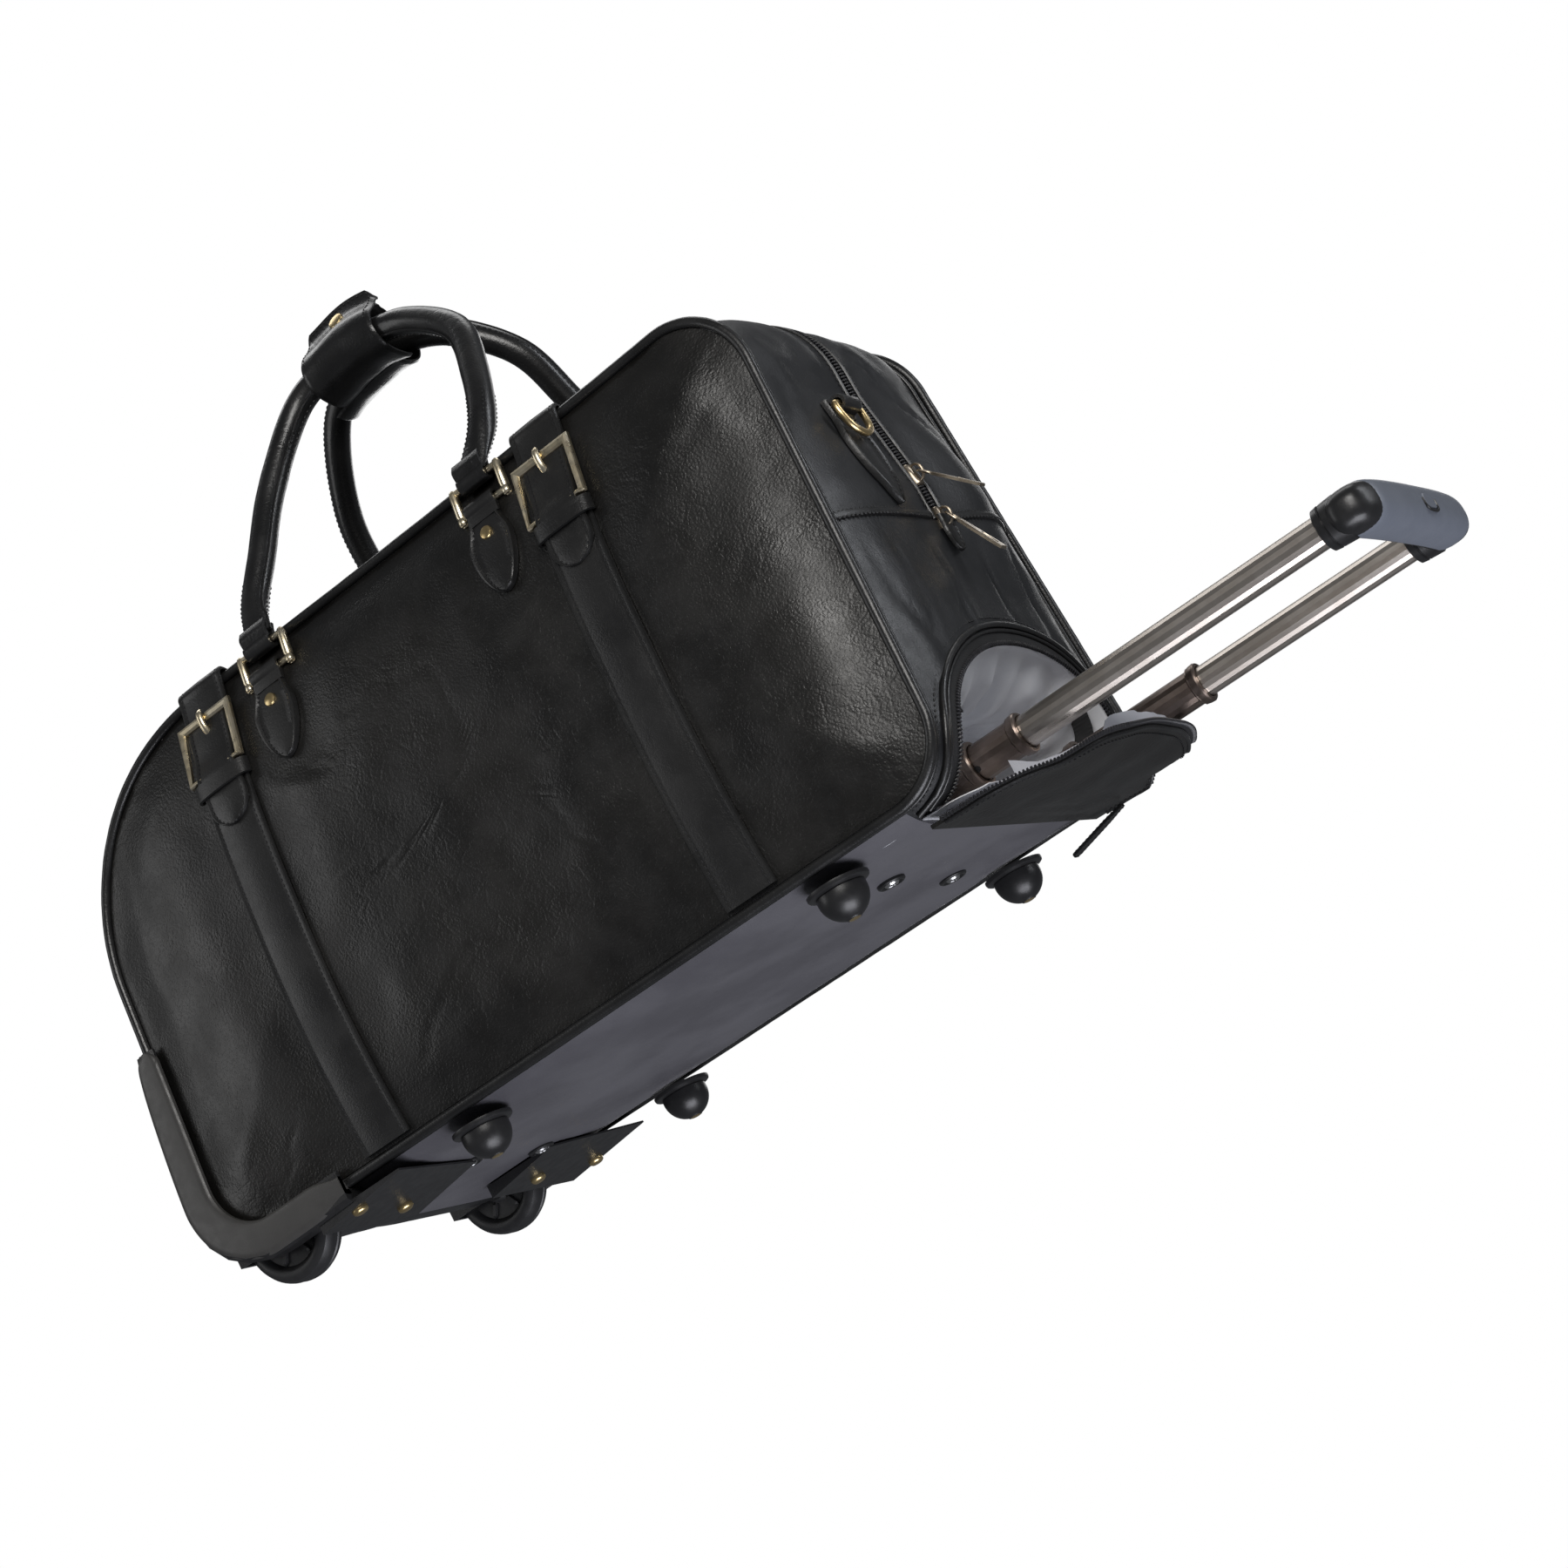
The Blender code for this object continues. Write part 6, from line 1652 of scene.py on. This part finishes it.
def make_flap():
    """The open pocket flap: leather outside, pale felt inside, its zip half round the edge."""
    outline_points = [(0.0, -FLAP_HALF_WIDTH), (0.008, -FLAP_HALF_WIDTH), (0.016, -FLAP_HALF_WIDTH)]
    for a in spread(0, 180, 56):
        turn = math.radians(a)
        round_off = 1 + 0.10 * max(math.sin(2 * turn) ** 2, 0) * 0.5
        reach = (FLAP_LENGTH - FLAP_STRAIGHT) * math.sin(turn) ** 0.92 * round_off
        outline_points.append((FLAP_STRAIGHT + reach, -FLAP_HALF_WIDTH * math.cos(turn)))
    outline_points += [(0.016, FLAP_HALF_WIDTH), (0.008, FLAP_HALF_WIDTH), (0.0, FLAP_HALF_WIDTH)]

    def place(along, y, lift):
        share = min(along / FLAP_LENGTH, 1.0)
        belly = 0.0040 * math.sin(math.pi * min(share, 1.0)) * (1 - (y / FLAP_HALF_WIDTH) ** 2)
        wave = 0.0014 * noise.noise(Vector((along, y, 0)) / 0.03)
        wave += 0.0300 * ease(y, 0.074, FLAP_HALF_WIDTH) * ease(share, 0.37, 0.66)
        wave += 0.0050 * ease(share, 0.72, 1.0)
        x = FLAP_HINGE_X + along * math.cos(FLAP_DROOP)
        z = FLAP_HINGE_Z - along * math.sin(FLAP_DROOP) + lift - belly * (1 if lift < 0.001 else 0.4) + wave
        return Vector((x, y, z))

    def inward(spot):
        return Vector((FLAP_HINGE_X + centre.x - spot.x, -spot.y, 0)).normalized()

    rings = 16
    centre = Vector((0.034, 0.0))
    layers = {}
    for name, lift in (("outer", -0.0017), ("inner", 0.0006), ("lining", 0.0011), ("pile", 0.0022)):
        rows = []
        for k in range(rings + 1):
            share = 1 - k / rings
            rows.append([place(centre.x + (a - centre.x) * share, centre.y + (y - centre.y) * share, lift)
                         for a, y in outline_points])
        layers[name] = rows
    for piece, low, high, look, replaces in (("flap_leather", "outer", "inner", "leather", ("pocket_flap",)),
                                             ("flap_lining", "lining", "pile", "felt", ())):
        bm = bmesh.new()
        first = 0 if piece == "flap_leather" else 1
        add_ring(bm, *[add_disc(bm, layers[name][first:-1], layers[name][-1][0]) for name in (low, high)])
        add_piece(piece, bm, look, "flap", replaces=replaces, smooth=60)
    # The lining's own gathered edge, which stands up inside the zip except where the tubes lie over it.
    inside = []
    for along, y in outline_points:
        if along < 0.050:
            continue
        low = place(centre.x + (along - centre.x) * 0.93, centre.y + (y - centre.y) * 0.93, 0.0016)
        clear = 1 - ease(abs(low.y), 0.040, 0.052) * (1 - ease(abs(low.y), 0.086, 0.096))
        clear *= ease(low.x, FLAP_HINGE_X + 0.030, FLAP_HINGE_X + 0.046)
        height = 0.0020 + 0.0075 * clear + 0.0012 * noise.noise(low / 0.009)
        lean = -inward(low) * (0.0016 * noise.noise(low / 0.012))
        inside.append([low, low + lean * 0.5 + Z_AXIS * (height * 0.5), low + lean + Z_AXIS * height])
    make_piece("flap_lip", "felt", "flap", add_shell,
               inside, [[p + inward(p) * 0.0012 for p in row] for row in inside], smooth=60)
    edge = outline_points[1:-1]
    coil = bmesh.new()

    def shifted(amount, lift):
        ways = tangents([Vector(spot) for spot in edge])
        return [place(a + way.y * amount, y - way.x * amount, lift) for (a, y), way in zip(edge, ways)]

    rim = shifted(0.0, 0.0)
    far = shifted(0.0034, -0.0004)
    up = Z_AXIS
    make_piece("flap_zip_tape", "zip_tape", "flap", add_shell,
               [[a + up * 0.0004, b + up * 0.0004] for a, b in zip(rim, far)],
               [[a - up * 0.0004, b - up * 0.0004] for a, b in zip(rim, far)])
    for centre_point, _, along in resample(far, [up] * len(far), 0.0022):
        add_bead(coil, centre_point, along.cross(up).normalized(), up, 0.0038, 0.0015, 0.0015)
    add_piece("flap_coil", coil, "coil", "flap")
    make_piece("flap_cord", "piping", "flap", add_sweep,
               free_frames(shifted(-0.0016, -0.0014), up), circle(0.0014, 8))
    make_piece("flap_stitches", "thread", "flap", add_stitches,
               shifted(-0.0055, -0.0021), [-up] * len(edge), 0.0034, 0.0009, 0.62)


def make_pocket_pull():
    top = Vector(POCKET_PULL_TOP)
    fall = POCKET_PULL_FALL
    hang = Vector((-math.cos(fall), 0, -math.sin(fall)))
    facing = Vector((-math.sin(fall), 0, math.cos(fall)))
    frames = []
    widths = []
    for t in spread(0.0, 1.0, 24):
        frames.append((top + hang * (t * POCKET_PULL_LENGTH), Y_AXIS, facing))
        tip = math.sqrt(max(1 - max((t - 0.93) / 0.075, 0) ** 2, 0.05))
        widths.append(0.0040 * (0.62 + 0.38 * ease(t, 0.05, 0.35)) * tip)
    make_piece("pocket_pull_leather", "strap_leather", "pocket_pull", add_tongue,
               frames, widths, 0.0019, replaces=("pocket_zip_pull",))
    threads = bmesh.new()
    for sign in (-1, 1):
        for level in (0.0019, -0.0001):
            row = [o + a * (sign * w * 0.66) + b * level for (o, a, b), w in zip(frames, widths)]
            add_stitches(threads, row, [facing * (1 if level > 0 else -1)] * len(row), 0.0030, 0.0007, 0.6)
    add_piece("pocket_pull_stitches", threads, "thread", "pocket_pull")


# ---- carried-over CAD nodes --------------------------------------------------------------
def dress(node, look):
    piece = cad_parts[node]
    for slot in piece.material_slots:
        slot.material = looks[look].material


def dress_nodes():
    for leg in ("near", "far"):
        dress(f"outer_tube_{leg}", "dark_tube_metal")
        dress(f"middle_tube_{leg}", "dark_tube_metal")
        dress(f"inner_tube_{leg}", "tube_metal")
    for face in ("front", "back"):
        dress(f"wheel_housing_{face}", "black_plastic")
        dress(f"axle_{face}", "steel")
    for place in ("front", "rear"):
        dress(f"tube_bracket_{place}", "black_plastic")
    dress("base_board", "board")
    dress("grip_button", "grip_grey")


# ---- stage, lights and camera ------------------------------------------------------------
def mix_shaders(tree, output, factor, first, second):
    mix = tree.nodes.new("ShaderNodeMixShader")
    for socket, value in enumerate((factor, first, second)):
        tree.links.new(value, mix.inputs[socket])
    tree.links.new(mix.outputs[0], tree.nodes[output].inputs["Surface"])


def make_stage():
    """A pale floor that is seen from above only, since the photograph looks up from under it."""
    bm = bmesh.new()
    bmesh.ops.create_grid(bm, x_segments=2, y_segments=2, size=4.0)
    mesh = bpy.data.meshes.new("floor")
    bm.to_mesh(mesh)
    bm.free()
    look = bpy.data.materials.new("pale_floor")
    look.use_nodes = True
    tree = look.node_tree
    shader = tree.nodes["Principled BSDF"]
    shader.inputs["Base Color"].default_value = (0.86, 0.86, 0.86, 1)
    shader.inputs["Roughness"].default_value = 0.8
    clear = tree.nodes.new("ShaderNodeBsdfTransparent")
    under = tree.nodes.new("ShaderNodeNewGeometry")
    mix_shaders(tree, "Material Output", under.outputs["Backfacing"], shader.outputs[0], clear.outputs[0])
    mesh.materials.append(look)
    floor = bpy.data.objects.new("floor", mesh)
    floor.location.z = -0.0006
    for rays in ("diffuse", "glossy", "transmission", "shadow"):
        setattr(floor, "visible_" + rays, False)
    bpy.context.collection.objects.link(floor)
    floor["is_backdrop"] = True
    world = bpy.data.worlds.new("studio")
    bpy.context.scene.world = world
    world.use_nodes = True
    tree = world.node_tree
    seen = tree.nodes["Background"]
    seen.inputs["Color"].default_value = (1, 1, 1, 1)
    seen.inputs["Strength"].default_value = 1.0
    cast = tree.nodes.new("ShaderNodeBackground")
    cast.inputs["Color"].default_value = (0.92, 0.95, 1.0, 1)
    cast.inputs["Strength"].default_value = WORLD_LIGHT
    path = tree.nodes.new("ShaderNodeLightPath")
    mix_shaders(tree, "World Output", path.outputs["Is Camera Ray"], cast.outputs[0], seen.outputs[0])


def add_light(name, place, target, size, power, color=(1, 1, 1)):
    light = bpy.data.lights.new(name, "AREA")
    light.shape = "RECTANGLE"
    light.size, light.size_y = size
    light.energy = power
    light.color = color
    lamp = bpy.data.objects.new(name, light)
    lamp.location = place
    lamp.rotation_euler = (Vector(target) - Vector(place)).to_track_quat("-Z", "Y").to_euler()
    lamp.visible_camera = False
    bpy.context.collection.objects.link(lamp)


def make_lights():
    middle = (SHIFT.x, 0, 0.2)
    add_light("key", (1.1, -1.9, 1.0), middle, (1.3, 0.9), 34, (1.0, 0.98, 0.95))
    add_light("left_fill", (-1.9, -1.2, 0.9), middle, (0.9, 1.8), 7)
    add_light("top_rim", (-0.3, 0.9, 2.2), middle, (2.4, 0.8), 13)
    add_light("end_rim", (2.2, 0.7, 0.9), middle, (0.5, 1.6), 15, (0.92, 0.95, 1.0))
    add_light("under", (0.5, -0.6, -1.7), middle, (1.6, 1.2), 36, (0.92, 0.93, 1.0))
    add_light("back_fill", (-0.6, 2.2, 0.8), middle, (1.8, 1.2), 14)


WORLD_LIGHT = 0.10
CAMERA_PLACE = Vector((0.92126, -1.67978, -0.34445))
CAMERA_FORWARD = Vector((-0.416738, 0.877170, 0.238542))
CAMERA_UP = Vector((0.517861, 0.013422, 0.855360))
CAMERA_LENS = 77.35


def make_camera():
    data = bpy.data.cameras.new("camera")
    data.lens = CAMERA_LENS
    data.sensor_width = 36.0
    data.clip_start = 0.05
    camera = bpy.data.objects.new("camera", data)
    forward = CAMERA_FORWARD.normalized()
    right = forward.cross(CAMERA_UP).normalized()
    up = right.cross(forward)
    turn = Matrix((right, up, -forward)).transposed().to_4x4()
    camera.matrix_world = Matrix.Translation(CAMERA_PLACE + SHIFT) @ turn
    bpy.context.collection.objects.link(camera)
    bpy.context.scene.camera = camera


def write_size():
    boxes = {"cad": cad_box, "visual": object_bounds()}
    plain = {name: [[round(value, 5) for value in point] for point in box] for name, box in boxes.items()}


# ---- build -------------------------------------------------------------------------------
bpy.context.scene.view_settings.view_transform = "Standard"
make_camera()
make_stage()
make_lights()
dress_nodes()
make_skins()
make_piping()
make_end_seams()
for face, side in FACES:
    for end, strap_x, tab_x, ring_x in zip(("wheel_side", "handle_side"), STRAP_X, TAB_X, RING_X):
        make_strap(face, side, end, strap_x)
        make_buckle(face, side, end, strap_x)
        make_tab(face, side, end, tab_x, ring_x)
    make_carry_handle(face, side)
    make_wrap(face, side)
    make_rail(face, side)
make_d_ring("handle", 1, D_RING_Y, "ring_handle_end")
make_d_ring("wheel", -1, -D_RING_Y, "ring_wheel_end")
make_main_zip()
for name, (y, z) in PULL_TOPS.items():
    make_slider(name, y, z, f"pull_{name}")
make_feet()
make_fixings()
make_wheels()
make_trolley()
make_grip()
make_pocket()
make_flap()
make_pocket_pull()
write_size()
